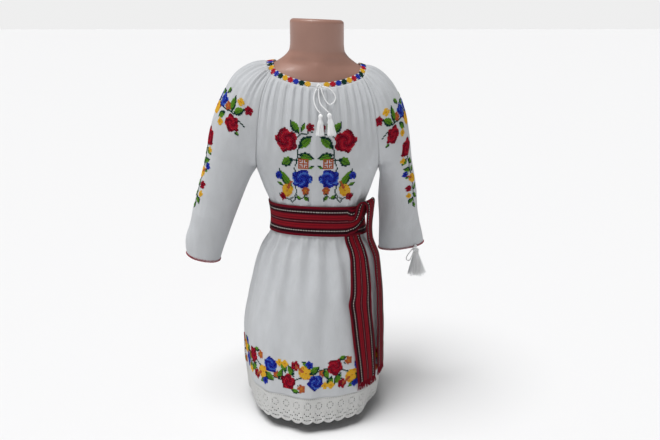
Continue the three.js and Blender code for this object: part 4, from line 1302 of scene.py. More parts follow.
@dataclass
class DressForm:
    """The limbless form and its stand."""

    shape: DressShape
    around: int = 128
    torso: Table = TORSO
    base_profile: tuple[tuple[float, float], ...] = (
        (0, 0), (90.8, 0), (91.7, 0.4), (92, 1.2), (92, 5), (91.7, 5.9), (90.9, 6.6),
        (88, 8), (84, 8.35), (60, 9), (30, 9.7), (16, 10), (0, 10),
    )
    pole_profile: tuple[tuple[float, float], ...] = (
        (0, 10.45), (14.5, 10.45), (15, 11), (15, 17), (14.5, 17.6), (9.6, 18.2), (9, 19),
        (9, 205), (9.6, 206), (15.4, 207), (16, 207.8), (16, 220.8), (15.4, 221.5), (0, 221.5),
    )

    def torso_points(self) -> Array:
        """Outer surface of the form, ring by ring from the top of the neck."""
        shoulder = np.linspace(689, 560, 90)
        rim, trunk = [695.0, 694.9, 694.4, 693.3, 691.6], np.linspace(557, 222, 110)
        z = np.concatenate([rim, shoulder, trunk])[:, None]
        inset = np.concatenate([[38.0, 3.0, 1.1, 0.2], np.zeros(len(z) - 4)])[:, None]
        a = np.linspace(0, 2 * math.pi, self.around, endpoint=False)[None, :]
        bent = lambda t, power: np.sign(t) * np.abs(t) ** (2 / power)
        power = self.torso.read("power", z)
        depth = np.where(np.cos(a) > 0, self.torso.read("front", z), self.torso.read("back", z))
        x = (self.torso.read("half", z) - inset) * bent(np.sin(a), power)
        y = self.torso.read("y", z) - (depth - inset) * bent(np.cos(a), power)
        return self.shape.tilted(stack(x, y, z))

    def build(self, wardrobe: Wardrobe) -> None:
        """Make the form, its pole and its base."""
        points = self.torso_points()
        rows, columns = points.shape[:2]
        flat = np.zeros((rows, columns + 1))
        faces = Sheet(points, flat, flat, 1.0, closed=True).corners()[0].tolist()
        faces.append(list(range(columns)))
        faces.append([(rows - 1) * columns + i for i in range(columns)][::-1])
        wardrobe.add(mesh_piece("form_torso_skin", points, faces), Finish.FORM, "form_torso")
        wardrobe.add(revolve("form_pole_tube", self.pole_profile, 48), Finish.STAND, "form_pole")
        wardrobe.add(revolve("form_base_plate", self.base_profile, 120), Finish.STAND, "form_base")


def spline(points: Sequence[Sequence[float]], steps: int) -> Array:
    """Run a centripetal Catmull-Rom curve through points.

    Args:
        points: Points to pass through, in millimetres.
        steps: Pieces to cut each stretch between two points into.

    Returns:
        Points along the curve.
    """
    p = np.asarray(points, dtype=float)
    p = np.vstack([2 * p[0] - p[1], p, 2 * p[-1] - p[-2]])
    out = []
    for i in range(1, len(p) - 2):
        gap = [max(np.linalg.norm(p[k + 1] - p[k]) ** 0.5, 1e-4) for k in (i - 1, i, i + 1)]
        first = (p[i] - p[i - 1]) / gap[0] - (p[i + 1] - p[i - 1]) / (gap[0] + gap[1])
        start = (first + (p[i + 1] - p[i]) / gap[1]) * gap[1]
        last = (p[i + 1] - p[i]) / gap[1] - (p[i + 2] - p[i]) / (gap[1] + gap[2])
        end = (last + (p[i + 2] - p[i + 1]) / gap[2]) * gap[1]
        out += [cubic(t, p[i], start, p[i + 1], end) for t in np.arange(steps) / steps]
    return np.array(out + [p[-2]])


class PieceTree(Graph):
    """Geometry Nodes tree with named inputs that ends in plain, dressed mesh."""

    def __init__(self, name: str, source: str, **inputs: tuple[str, object]) -> None:
        """Start the tree.

        Args:
            name: Name of the tree.
            source: Name of its geometry input.
            inputs: Name, kind and first value of each further input.
        """
        super().__init__(bpy.data.node_groups.new(name, "GeometryNodeTree"))
        self.ids: dict[str, str] = {}
        face = self.tree.interface
        face.new_socket(source, in_out="INPUT", socket_type="NodeSocketGeometry")
        for key, (kind, value) in {**inputs, "Finish": ("Material", None)}.items():
            item = face.new_socket(key, in_out="INPUT", socket_type=f"NodeSocket{kind}")
            if value is not None:
                item.default_value = value
            self.ids[key] = item.identifier
        face.new_socket("Mesh", in_out="OUTPUT", socket_type="NodeSocketGeometry")
        self.start = self.add("NodeGroupInput").outputs

    def close(self, made: Socket) -> None:
        """End the tree: realize what was made, give it its finish and hand it out."""
        real = self.add("GeometryNodeRealizeInstances", made).outputs[0]
        dressed = self.add("GeometryNodeSetMaterial", real, i_Material=self.start["Finish"])
        self.add("NodeGroupOutput", dressed.outputs[0])

    def run(self, name: str, mesh: bpy.types.Mesh, **values: object) -> Piece:
        """Make a piece from a mesh with the tree, its inputs set to values."""
        piece = link(name, mesh)
        modifier = piece.modifiers.new("pattern", "NODES")
        modifier.node_group = self.tree
        for key, value in values.items():
            modifier[self.ids[key]] = value
        return freeze(piece)


class ThreadMaker(PieceTree):
    """Sweeps a round thread along every edge path of a mesh."""

    def __init__(self) -> None:
        """Build the tree."""
        super().__init__("threads", "Paths", Radius=("Float", 0.0005), Sides=("Int", 5))
        curve = self.add("GeometryNodeMeshToCurve", self.start["Paths"]).outputs[0]
        sizes = {"i_Resolution": self.start["Sides"], "i_Radius": self.start["Radius"]}
        ring = self.add("GeometryNodeCurvePrimitiveCircle", **sizes).outputs[0]
        sweep = self.add("GeometryNodeCurveToMesh", i_Curve=curve, i_Profile_Curve=ring, i_Fill_Caps=True)
        self.close(self.add("GeometryNodeSetShadeSmooth", sweep.outputs[0]).outputs[0])

    def sweep(self, name: str, paths: Sequence[Array], radius: float, finish: Material, sides: int) -> Piece:
        """Sweep threads along paths.

        Args:
            name: Name of the piece.
            paths: One array of points in millimetres for each thread.
            radius: Radius of a thread in millimetres.
            finish: Its material.
            sides: Corners of its section.

        Returns:
            All the threads as one plain mesh.
        """
        edges: list[tuple[int, int]] = []
        first = 0
        for path in paths:
            edges += [(first + i, first + i + 1) for i in range(len(path) - 1)]
            first += len(path)
        mesh = bpy.data.meshes.new(name)
        mesh.from_pydata((np.concatenate(list(paths)) * MM).tolist(), edges, [])
        return self.run(name, mesh, Radius=radius * MM, Sides=sides, Finish=finish)


CORDS = {
    "neck_tie_loop": (
        (7.8, -71.8, 590.4), (17, -73, 588.5), (26, -74, 581), (29.5, -76.5, 572), (26, -80, 565),
        (20, -81.5, 562.5), (14, -80.5, 568), (9.6, -78, 577), (5.9, -74.1, 587),
    ),
    "neck_tie_left": (
        (-1, -73.3, 586.9), (-5, -77.8, 577), (-4.5, -83, 564), (0, -87.5, 555), (4.6, -90.2, 549.5),
    ),
    "neck_tie_right": (
        (2.2, -74.8, 586.8), (2.6, -80, 574.5), (5, -85, 564), (11, -88.8, 557.5), (18.3, -91.6, 551.2),
    ),
    "cuff_tie_loop": (
        (184, 45, 276), (178, 43, 268.5), (171.8, 42.2, 260.5), (169.3, 42, 253.8), (170.5, 42, 250.6),
        (173.6, 41.9, 249.3), (176.7, 41.8, 250.6), (177.9, 41.8, 253.8), (180.6, 41.6, 261),
        (183.2, 41.6, 268.5), (185.8, 42.8, 274.2),
    ),
}
# Middle and size of each knot.
KNOTS = {"neck_tie_knot": ((2.5, -71.3, 590.5), 4.3), "cuff_tie_knot": ((187, 47, 277), 3)}
# Each tassel's top, its lean, length and flare.
TASSELS = {
    "neck_tassel_left": ((5.2, -90.6, 549), (-0.03, -0.2, 0), 37, 6.5),
    "neck_tassel_right": ((18.8, -91.7, 550.8), (0.13, -0.16, 0), 39, 6.5),
    "cuff_tassel": ((187.3, 46.9, 273.9), (0.06, -0.02, 0), 57, 17),
}


@dataclass
class Drawstrings:
    """The cords that close the neck and the cuff, with their knots and tassels."""

    threads: ThreadMaker
    thickness: float = 2.0
    cords: Mapping[str, tuple[Triple, ...]] = field(default_factory=lambda: CORDS)
    knots: Mapping[str, tuple[Triple, float]] = field(default_factory=lambda: KNOTS)
    tassels: Mapping[str, tuple[Triple, Triple, float, float]] = field(default_factory=lambda: TASSELS)
    strands: int = 150

    def tassel(self, name: str, finish: Material) -> Piece:
        """Make one tassel: a bound head, its skirt of loose threads and the wrapping.

        Args:
            name: Node that it stands for.
            finish: Its material.

        Returns:
            The tassel as one mesh.
        """
        top, lean, length, flare = self.tassels[name]
        rng = np.random.default_rng(len(name) * 7 + int(length))
        down = unit(np.array(lean) + np.array([0.0, 0.0, -1.0]))
        side = unit(np.cross(down, (0.0, 1.0, 0.2)))
        other = np.cross(down, side)
        start = np.array(top)
        full, still = 1.0 + 0.07 * (flare - 6.5), np.zeros(3)
        paths = []
        for i in range(self.strands):
            a = i * 2.399963
            r = math.sqrt((i + 0.5) / self.strands)
            out = side * math.cos(a) + other * math.sin(a)
            reach = length * (0.93 + 0.07 * rng.random() - 0.05 * r)
            wave_by = rng.normal(0, 0.35, (2, 3))
            # Down the tassel: how far, how wide there and how much it strays.
            skirt = (
                (0.5, 0.6, still), (4.2, 3.6 * full, still), (8.6, 2.5 * full, still),
                (0.4 * length, 0.35 * flare + 2.0, wave_by[0]),
                (0.72 * length, 0.8 * flare + 0.5, wave_by[1]), (reach, flare + 0.6, wave_by[1] * 1.4),
            )
            paths.append(spline([start + down * s + out * w * r + stray for s, w, stray in skirt], 2))
        for turn in range(3):
            a = np.linspace(0, 2 * math.pi, 17)
            height = start + down * (8.0 + 1.0 * turn)
            ring = np.outer(np.cos(a), side) + np.outer(np.sin(a), other)
            paths.append(height + ring * 3.0 * full + np.outer(a / (2 * math.pi), down) * 1.0)
        return self.threads.sweep(f"{name}_threads", paths, 0.42, finish, 4)

    def knot(self, name: str) -> Piece:
        """Make a knot as a cord wound over itself."""
        at, size = self.knots[name]
        a = np.linspace(0, 2 * math.pi, 90)
        r = size * (0.52 + 0.22 * np.cos(3 * a))
        wound = stack(r * np.cos(2 * a), 0.42 * size * np.sin(3 * a), r * np.sin(2 * a)) + np.array(at)
        return tube(f"{name}_wound", wound, size * 0.28, 10)

    def build(self, wardrobe: Wardrobe) -> None:
        """Make all the cords, with their knots and tassels."""
        finish = wardrobe.materials[Finish.CORD]
        for name in self.tassels:
            wardrobe.add(self.tassel(name, finish), Finish.CORD, name)
        for name in self.knots:
            wardrobe.add(self.knot(name), Finish.CORD, name)
        for name, points in self.cords.items():
            route = spline(points, 8)
            cord = wardrobe.add(tube(f"{name}_cord", route, self.thickness / 2, 12), Finish.CORD, name)
            float(lengths(route[:, None, :], 0)[-1, 0]) * MM


class Thread(Enum):
    """Colours of the embroidery cotton."""

    CRIMSON = (0.29, 0.006, 0.022)
    SCARLET = (0.46, 0.016, 0.03)
    MAROON = (0.13, 0.003, 0.014)
    LEAF = (0.105, 0.26, 0.02)
    MOSS = (0.05, 0.14, 0.018)
    PINE = (0.006, 0.038, 0.026)
    YELLOW = (0.72, 0.42, 0.035)
    AMBER = (0.56, 0.21, 0.02)
    RUST = (0.43, 0.1, 0.04)
    COBALT = (0.018, 0.038, 0.38)
    NAVY = (0.01, 0.01, 0.19)
    SKY = (0.07, 0.17, 0.56)


Cells = dict[tuple[int, int], Thread]
Shades = tuple[Thread, Thread, Thread]
Spot = tuple[float, float]
Pick = Callable[[float, float], "Thread | None"]


class Chart:
    """A cross-stitch chart: cells count to the right and down from its origin."""

    def __init__(self, scale: float = 1.0, turn: float = 0.0, about: Spot = (0, 0)) -> None:
        """Start with bare cloth.

        Args:
            scale: Enlarges the whole chart.
            turn: Degrees everything is turned, clockwise.
            about: The place it is turned about.
        """
        self.cells: Cells = {}
        self.scale = scale
        self.about = np.array(about)
        c, s = math.cos(math.radians(turn)), math.sin(math.radians(turn))
        self.frame = np.array([[c, -s], [s, c]])

    def spot(self, x: float, y: float) -> Spot:
        """Find the cell, not yet rounded, at a place of the drawing."""
        i, j = (self.frame @ (np.array([x, y]) - self.about) + self.about) * self.scale
        return float(i), float(j)

    def put(self, x: float, y: float, thread: Thread) -> None:
        """Stitch one cell."""
        i, j = self.spot(x, y)
        self.cells[(round(i), round(j))] = thread

    def fill(self, x: float, y: float, reach: float, pick: Pick) -> None:
        """Stitch the cells round a place that pick gives a thread for.

        Args:
            x: Middle of the motif across.
            y: Middle of the motif down.
            reach: How far from the middle to look.
            pick: Thread for an offset from the middle, or None for bare cloth.
        """
        middle, far = np.array(self.spot(x, y)), self.scale * reach
        low, high = np.floor(middle - far).astype(int), np.ceil(middle + far).astype(int)
        for j in range(low[1], high[1] + 1):
            for i in range(low[0], high[0] + 1):
                dx, dy = self.frame.T @ ((np.array([i, j]) - middle) / self.scale)
                thread = pick(float(dx), float(dy))
                if thread:
                    self.cells[(i, j)] = thread

    def rose(self, x: float, y: float, r: float, threads: Shades, turn: float = 0.0) -> None:
        """Stitch a full rose: a body thread, its shadow lines and its light strokes."""
        body, shadow, light = threads

        def pick(dx: float, dy: float) -> Thread | None:
            """Thread of the rose at a place from its middle, if any."""
            a, d = math.atan2(dy, dx) + turn, math.hypot(dx, dy)
            edge = r * (0.93 + 0.09 * math.cos(5 * a) + 0.03 * math.cos(9 * a + 1.0))
            if d > edge:
                return None
            petal = math.cos(5 * a + 2.4 * d / r)
            whorl = math.cos(2.2 * a + 9.5 * d / r)
            if whorl > 0.74 or (d > 0.62 * r and petal < -0.86):
                return shadow
            if whorl < -0.8 and d > 0.25 * r:
                return light
            return body

        self.fill(x, y, r + 2, pick)

    def leaf(self, x0: float, y0: float, x1: float, y1: float, width: float) -> None:
        """Stitch a leaf from its stalk to its tip, dark along one side and its vein."""
        length = math.hypot(x1 - x0, y1 - y0)
        ax, ay = (x1 - x0) / length, (y1 - y0) / length

        def pick(dx: float, dy: float) -> Thread | None:
            """Thread of the leaf at a place from its middle, if any."""
            s = (dx * ax + dy * ay) / length + 0.5
            w = (dy * ax - dx * ay) / width * 2
            if not -0.04 <= s <= 1.04:
                return None
            limit = max(math.sin(math.pi * min(max(s, 0.03), 0.97)) ** 0.75, 0.2)
            if abs(w) > limit:
                return None
            if w > limit - 0.48 or (s < 0.25 and abs(w) < 0.3):
                return Thread.PINE
            return Thread.MOSS if abs(w) < 0.14 and s < 0.8 else Thread.LEAF

        self.fill((x0 + x1) / 2, (y0 + y1) / 2, length / 2 + width / 2 + 1, pick)

    def stems(self, *stems: Sequence[Spot]) -> None:
        """Stitch stems one cell wide, each through its stops."""
        for (x0, y0), (x1, y1) in (pair for stops in stems for pair in zip(stops, stops[1:])):
            steps = max(1, math.ceil(self.scale * max(abs(x1 - x0), abs(y1 - y0))))
            for k in range(steps + 1):
                i, j = self.spot(mix(x0, x1, k / steps), mix(y0, y1, k / steps))
                self.cells.setdefault((round(i), round(j)), Thread.PINE)

    def leaves(self, *leaves: tuple[float, ...]) -> None:
        """Stitch leaves, each from its x0, y0, x1, y1 and width."""
        for leaf in leaves:
            self.leaf(*leaf)

    def bud(self, x: float, y: float, r: float, turn: float, threads: Shades) -> None:
        """Stitch a star-edged bud that opens towards turn, in degrees down from +X."""
        way = math.radians(turn)

        def pick(dx: float, dy: float) -> Thread | None:
            """Thread of the bud at a place from its middle, if any."""
            a, d = math.atan2(dy, dx) - way, math.hypot(dx, dy)
            if d > r * (0.72 + 0.34 * abs(math.cos(2.5 * a))):
                return None
            return threads[1] if d < 0.3 * r or math.cos(5 * a) < -0.82 else threads[0]

        self.fill(x, y, r + 1, pick)
        base = (x - 1.05 * r * math.cos(way), y - 1.05 * r * math.sin(way))
        self.put(*base, Thread.PINE)
        self.put(base[0] + round(math.sin(way)), base[1] - round(math.cos(way)), Thread.PINE)

    def tulip(self, x: float, y: float, r: float, turn: float) -> None:
        """Stitch a yellow tulip that opens towards turn, with a rust heart."""
        way = math.radians(turn)

        def pick(dx: float, dy: float) -> Thread | None:
            """Thread of the tulip at a place from its middle, if any."""
            s = (dx * math.cos(way) + dy * math.sin(way)) / r
            w = (dy * math.cos(way) - dx * math.sin(way)) / r
            belly = 0.8 * math.sqrt(max(0.0, 1 - ((s + 0.12) / 0.98) ** 2)) + 0.14 * max(0.0, s)
            if abs(w) > belly or s < -1.05:
                return None
            if s > 0.42 and abs(w) < 0.5 and math.cos(9 * w) > -0.25:
                return Thread.RUST
            if s > 0.2 and abs(w) < 0.2:
                return Thread.RUST
            return Thread.AMBER if math.cos(7.5 * w) * math.cos(5 * s + 0.6) > 0.72 else Thread.YELLOW

        self.fill(x, y, r + 1, pick)

    def clover(self, x: float, y: float, r: float) -> None:
        """Stitch a small yellow flower of four petals with an amber heart."""

        def pick(dx: float, dy: float) -> Thread | None:
            """Thread of the clover at a place from its middle, if any."""
            d, lobe = math.hypot(dx, dy), abs(math.cos(2 * math.atan2(dy, dx)))
            if d > r * (0.78 + 0.4 * lobe):
                return None
            return Thread.AMBER if d < 0.7 else Thread.YELLOW

        self.fill(x, y, r + 1, pick)

    def square(self, x: float, y: float) -> None:
        """Stitch a rust square as a lattice with small openings."""
        for dx in range(-4, 5):
            for dy in range(-4, 5):
                if not (dx % 2 and dy % 2) and abs(dx * dy) != 2:
                    self.put(x + dx, y + dy, Thread.RUST)

    def mirrored(self) -> Chart:
        """Copy the chart, turned over left for right."""
        other = Chart()
        other.cells = {(-x, y): thread for (x, y), thread in self.cells.items()}
        return other


# A flower's body, its shadows and its lights.
RED = (Thread.CRIMSON, Thread.MAROON, Thread.SCARLET)
BLUE = (Thread.COBALT, Thread.NAVY, Thread.SKY)
ORANGE = (Thread.RUST, Thread.AMBER, Thread.YELLOW)


def chest_chart() -> Chart:
    """Chart the panel on the wearer's left of the opening, counted from the opening outwards."""
    chart = Chart()
    chart.stems(
        ((4, 6), (7, 10), (12, 10), (15, 13)), ((13, 20), (15, 24), (15, 30), (17, 38)),
        ((15, 31), (8, 30)), ((15, 33), (21, 33)), ((18, 40), (16, 46)),
        ((17, 57), (16, 63), (18, 66), (18, 70), (21, 73), (23, 70), (20, 68)),
        ((18, 68), (13, 69), (9, 66), (8, 63)), ((22, 71), (27, 68)),
    )
    chart.rose(25, 17, 10.3, RED)
    chart.rose(11, 50, 9.3, BLUE, 0.6)
    chart.leaves((14, 10, 21, 0, 6.5), (12, 8, 8.5, 0.5, 3.2))
    chart.bud(4, 4, 3.6, -75, RED)
    chart.leaves(
        (14, 22, 3.5, 12, 8.0), (14, 28, 1, 31, 7.0), (20, 32, 29, 38, 8.0), (20, 60, 32, 43, 7.0),
        (5, 40, 1, 38, 2.6),
    )
    chart.square(10, 36)
    chart.bud(33, 48, 3.5, -160, BLUE)
    chart.leaf(29, 57, 35, 55, 3.2)
    chart.tulip(25, 61, 6.3, -115)
    chart.bud(30, 68, 3.9, 150, RED)
    chart.bud(8, 61, 3.6, -90, ORANGE)
    chart.leaves((9, 66, 6, 71, 3.2), (13, 69, 16, 65, 2.8))
    return chart


def hem_chart(period: int, flip: float) -> Chart:
    """Chart one half repeat of the hem garland about its middle line.

    Args:
        period: Cells in the half repeat, counted from 0.
        flip: 1 or -1; every other half repeat is turned upside down.
    """
    chart = Chart(1.16)
    long = period / chart.scale
    k = long / 43.0

    def leaf(x0: float, y0: float, x1: float, y1: float, width: float) -> None:
        """Stitch a leaf, moved in about its middle."""
        shift = (k - 1) * (x0 + x1) / 2
        chart.leaf(x0 + shift, y0 * flip, x1 + shift, y1 * flip, width)

    stops = np.linspace(0, 1, 12)
    chart.stems([(long * t, -flip * 5 * math.cos(math.pi * t)) for t in stops])
    chart.rose(5 * k, -6 * flip, 6.6, RED, flip)
    leaf(9, -12, 15, -13, 3.6)
    chart.bud(18 * k, -10 * flip, 3.2, -40 * flip, ORANGE)
    leaf(10, -1, 5, 7, 5)
    leaf(2, 1, -1, 9, 4.6)
    chart.clover(1.5 * k, 8 * flip, 2.6)
    chart.bud(12 * k, 7.5 * flip, 3.8, 70 * flip, RED)
    chart.tulip(21 * k, 3 * flip, 6, 150 if flip > 0 else -150)
    leaf(24, 8, 19, 11, 3.6)
    chart.rose(30.5 * k, -5 * flip, 6.3, BLUE, 0.4 * flip)
    leaf(26, 2, 33, 7, 5.8)
    chart.bud(25 * k, 9 * flip, 3, 100 * flip, BLUE)
    chart.bud(36.5 * k, 2 * flip, 2.8, -150 * flip, ORANGE)
    leaf(38, 5, 42, -3, 4.6)
    chart.clover(39 * k, -8 * flip, 2.6)
    return chart


def band_chart() -> Chart:
    """Chart half the sleeve's cross band, counted from its middle towards the front seam."""
    chart = Chart(1.22, -22, (22, 4))
    chart.stems(((1, -7), (4, 0), (10, 1), (16, 3), (24, 5), (33, 0)))
    chart.tulip(-0.3, 1, 5.4, 222)
    chart.rose(9, -4, 5.6, BLUE)
    chart.leaves((6, -9, 1, -13, 3.4), (13, -9, 16, -13, 3.4))
    chart.bud(16, 0, 3.2, -100, ORANGE)
    chart.leaf(13, 5, 6, 8, 4.8)
    chart.clover(8, 12, 2.6)
    chart.rose(20, 12, 6.7, RED, 0.5)
    chart.leaf(20, 4, 22, -8, 5.4)
    chart.clover(28, -5, 2.7)
    chart.leaf(22, 5, 31, 0, 5.6)
    chart.stems(((26, 9), (31, 13)))
    chart.bud(35, 0, 3.6, -20, RED)
    chart.leaf(22, 18, 25, 20, 2.6)
    return chart


def column_chart() -> Chart:
    """Chart the garland down the sleeve, from its rose."""
    chart = Chart(1.1)
    chart.stems(((2, 6), (3, 14), (1, 22), (4, 30), (2, 40), (3, 48), (1, 58)))
    chart.rose(0, 0, 8, RED)
    chart.leaves((1, 10, -6, 14, 4.6), (3, 11, 8, 17, 4.8))
    chart.clover(-4, 10, 2.4)
    chart.leaves((2, 22, -5, 18, 5.2), (3, 24, 8, 20, 4.6))
    chart.bud(-5, 24, 3.1, 170, BLUE)
    chart.tulip(3, 31, 5.6, -150)
    chart.leaf(-2, 29, -6, 28, 2.8)
    chart.bud(-3, 41, 3.4, 200, RED)
    chart.leaf(3, 44, 8, 39, 4)
    chart.clover(-3, 49, 2.4)
    chart.leaves((2, 48, 7, 53, 4.4), (1, 52, -4, 57, 4.6), (1, 57, 3, 63, 3.6))
    return chart


class StitchMaker(PieceTree):
    """Sets one cross-stitch on every point of a chart."""

    def __init__(self) -> None:
        """Build the tree."""
        super().__init__("cross_stitches", "Chart", Stitch=("Object", None), Size=("Float", 1.0))
        turn = self.add("GeometryNodeInputNamedAttribute", data_type="FLOAT_VECTOR", i_Name="turn")
        shape = self.add("GeometryNodeObjectInfo", i_Object=self.start["Stitch"])
        spread = self.add(
            "GeometryNodeInstanceOnPoints", self.start["Chart"], i_Instance=shape.outputs["Geometry"],
            i_Rotation=turn.outputs["Attribute"], i_Scale=self.start["Size"],
        )
        self.close(spread.outputs["Instances"])


def cross_stitch() -> Piece:
    """Make one cross-stitch of size one: two plump threads over each other."""
    points: list[Triple] = []
    faces: list[tuple[int, ...]] = []
    half, sink = 0.5, -0.04
    for turn, top in ((45, 0.22), (-45, 0.31)):
        c, s = math.cos(math.radians(turn)), math.sin(math.radians(turn))
        first = len(points)
        swell = (top - 0.7 * top) * 0.5
        end, belly = (sink, 0.26, 0.0), (0.7 * top, 0.31, swell)
        for along, (height, width, rise) in ((-1, end), (-0.5, belly), (0.5, belly), (1, end)):
            x = along * half * math.sqrt(2)
            for side, up in ((-1, sink - 0.03), (-0.55, height), (0.55, height), (1, sink - 0.03)):
                y = side * width
                points.append((x * c - y * s, x * s + y * c, up + rise))
        for k in range(first, first + 12, 4):
            for i in range(4):
                j = (i + 1) % 4
                faces.append((k + i, k + 4 + i, k + 4 + j, k + j))
        faces.append((first, first + 1, first + 2, first + 3))
        faces.append((first + 15, first + 14, first + 13, first + 12))
    mesh = bpy.data.meshes.new("cross_stitch")
    mesh.from_pydata(points, [], faces)
    return bpy.data.objects.new("cross_stitch", mesh)


Plan = tuple[Array, Array, Array, list[Thread]]  # places, normals, the way right, and threads


@dataclass
class Needlework:
    """The embroidery of the dress, sewn onto its panels."""

    cloth: DressCloth
    panels: Mapping[Side, Piece]
    finish: Material
    cell: float = 1.9
    proud: float = 0.16
    hem_repeats: int = 10
    hem_z: float = 105.0

    def __post_init__(self) -> None:
        """Prepare one stitch, its tree and the cloth to sew on."""
        self.maker = StitchMaker()
        self.stitch = cross_stitch()
        self.ground: dict[Side, BVHTree] = {}
        for side, panel in self.panels.items():
            mesh = panel.data
            corners = [v.co[:] for v in mesh.vertices]
            self.ground[side] = BVHTree.FromPolygons(corners, [p.vertices[:] for p in mesh.polygons])

    def settle(self, sides: Sequence[Side], at: Array, n: Array) -> tuple[Array, Array]:
        """Bring places of the plain surface onto the cloth of some panels.

        Args:
            sides: The panels.
            at: Places, in millimetres.
            n: Normals there.

        Returns:
            The places on the cloth and the cloth's own normals.
        """
        spots, ups = at.copy(), n.copy()
        for k in range(len(at)):
            start = Vector((at[k] + n[k] * 9.0) * MM)
            best = None
            for side in sides:
                hit, up, _, far = self.ground[side].ray_cast(start, Vector(-n[k]), 0.02)
                if hit is not None and (best is None or far < best[2]):
                    best = (hit, up, far)
            if best:
                spots[k] = np.array(best[0]) / MM + n[k] * self.proud
                up = np.array(best[1])
                ups[k] = up if np.dot(up, n[k]) > 0 else -up
        return spots, unit(ups + n)

    def sew(
        self, name: str, sides: Sequence[Side], plan: Plan, wardrobe: Wardrobe,
        slot: Finish = Finish.COTTON, cell: float = 1.9,
    ) -> None:
        """Sew stitches at places of the plain surface.

        Args:
            name: Name of the piece.
            sides: Panels below it.
            plan: What goes where.
            wardrobe: Takes the finished piece.
            slot: Slot of the cloth below.
            cell: Side of a cell.
        """
        at, n, right, threads = plan
        spots, up = self.settle(sides, at, n) if sides else (at, n)
        x = unit(right - up * np.sum(right * up, axis=-1, keepdims=True))
        y = np.cross(up, x)
        axes = zip(x.tolist(), y.tolist(), up.tolist())
        turns = np.array([Matrix(rows).transposed().to_euler()[:] for rows in axes])
        colours = np.array([thread.value for thread in threads])
        mesh = bpy.data.meshes.new(name)
        mesh.from_pydata((spots * MM).tolist(), [], [])
        for key, values in (("turn", turns), ("thread", colours)):
            mesh.attributes.new(key, "FLOAT_VECTOR", "POINT").data.foreach_set("vector", values.ravel())
        piece = self.maker.run(name, mesh, Stitch=self.stitch, Size=cell * MM, Finish=self.finish)
        piece.data.shade_smooth()
        wardrobe.add(piece, slot, wears=self.finish)

    def charted(self, side: Side, chart: Chart, u0: float, v0: float) -> Plan:
        """Lay a chart on a panel.

        Args:
            side: The panel.
            chart: What to sew.
            u0: Where the chart's column 0 lies across the panel.
            v0: Where its row 0 lies down the panel.
        """
        surface = self.cloth.surface(side)
        v = np.linspace(0.02, 2.0, 400)[:, None]
        middle = surface(np.full_like(v, u0), v)
        run = lengths(middle, 0)[:, 0]
        start = np.interp(v0, v[:, 0], run)
        us = np.linspace(-1, 1, 401)[None, :]
        across, down, threads = [], [], []
        by_row: dict[int, list[tuple[int, Thread]]] = {}
        for (i, j), thread in sorted(chart.cells.items(), key=lambda item: item[0]):
            by_row.setdefault(j, []).append((i, thread))
        for j, cells in by_row.items():
            here = np.interp(start + j * self.cell, run, v[:, 0])
            row = lengths(surface(us, np.full_like(us, here)), 1)[0]
            zero = np.interp(u0, us[0], row)
            places = zero + np.array([i for i, _ in cells]) * self.cell
            across += np.interp(places, row, us[0]).tolist()
            down += [here] * len(cells)
            threads += [thread for _, thread in cells]
        u, w = np.array(across), np.array(down)
        right = surface(u + 1e-3, w) - surface(u - 1e-3, w)
        return surface(u, w), normals(surface, u, w, side.outward), right, threads

    def hem(self) -> Plan:
        """Lay the garland round the skirt in whole repeats."""
        ring = np.linspace(0, 360, 1441)
        shape = self.cloth.shape
        run = lengths(shape.skirt_ring(ring, np.full_like(ring, self.hem_z))[:, None, :], 0)[:, 0]
        period = int(round(run[-1] / self.hem_repeats / self.cell))
        pitch = run[-1] / (self.hem_repeats * period)
        cells: Cells = {}
        for k in range(self.hem_repeats):
            for (i, j), thread in hem_chart(period, 1.0 if k % 2 else -1.0).cells.items():
                cells.setdefault(((i + k * period) % (self.hem_repeats * period), j), thread)
        keys = sorted(cells)
        i, j = np.array(keys, dtype=float).T
        shift = 0.68 * period
        degrees = np.interp(np.mod((i - shift) * pitch, run[-1]), run, ring)
        z = self.hem_z - j * self.cell
        right = shape.skirt_ring(degrees + 0.3, z) - shape.skirt_ring(degrees - 0.3, z)
        up = shape.skirt_ring(degrees, z + 1) - shape.skirt_ring(degrees, z - 1)
        at = shape.skirt_ring(degrees, z)
        return at, unit(np.cross(right, up)), right, [cells[key] for key in keys]

    def neck(self, binding: NeckBinding) -> Plan:
        """Lay the row of small diamonds round the neck binding, but for the gap at the tie."""
        w = np.linspace(0.5, 4.5, 3001)
        run = lengths(binding.point(w[None, :], np.full((1, 1), 0.5)), 1)[0]
        count = int(round((run[-1] - 18.0) / 10.3))
        order = (Thread.YELLOW, Thread.SCARLET, Thread.COBALT, Thread.PINE)
        at, n, right, threads = [], [], [], []
        for k in range(count):
            middle = 15.5 + (run[-1] - 31.0) * k / (count - 1)
            for j in range(-2, 3):
                reach = 2 - abs(j) // 2
                for i in range(-reach, reach + 1):
                    here = np.interp(middle + i * 1.95, run, w)
                    at.append((here, 0.5 + j * 0.19))
                    threads.append(order[k % 4])
        w, v = np.array(at).T
        right = binding.point(w + 1e-3, v) - binding.point(w - 1e-3, v)
        return binding.point(w, v), normals(binding.point, w, v, -1.0), right, threads

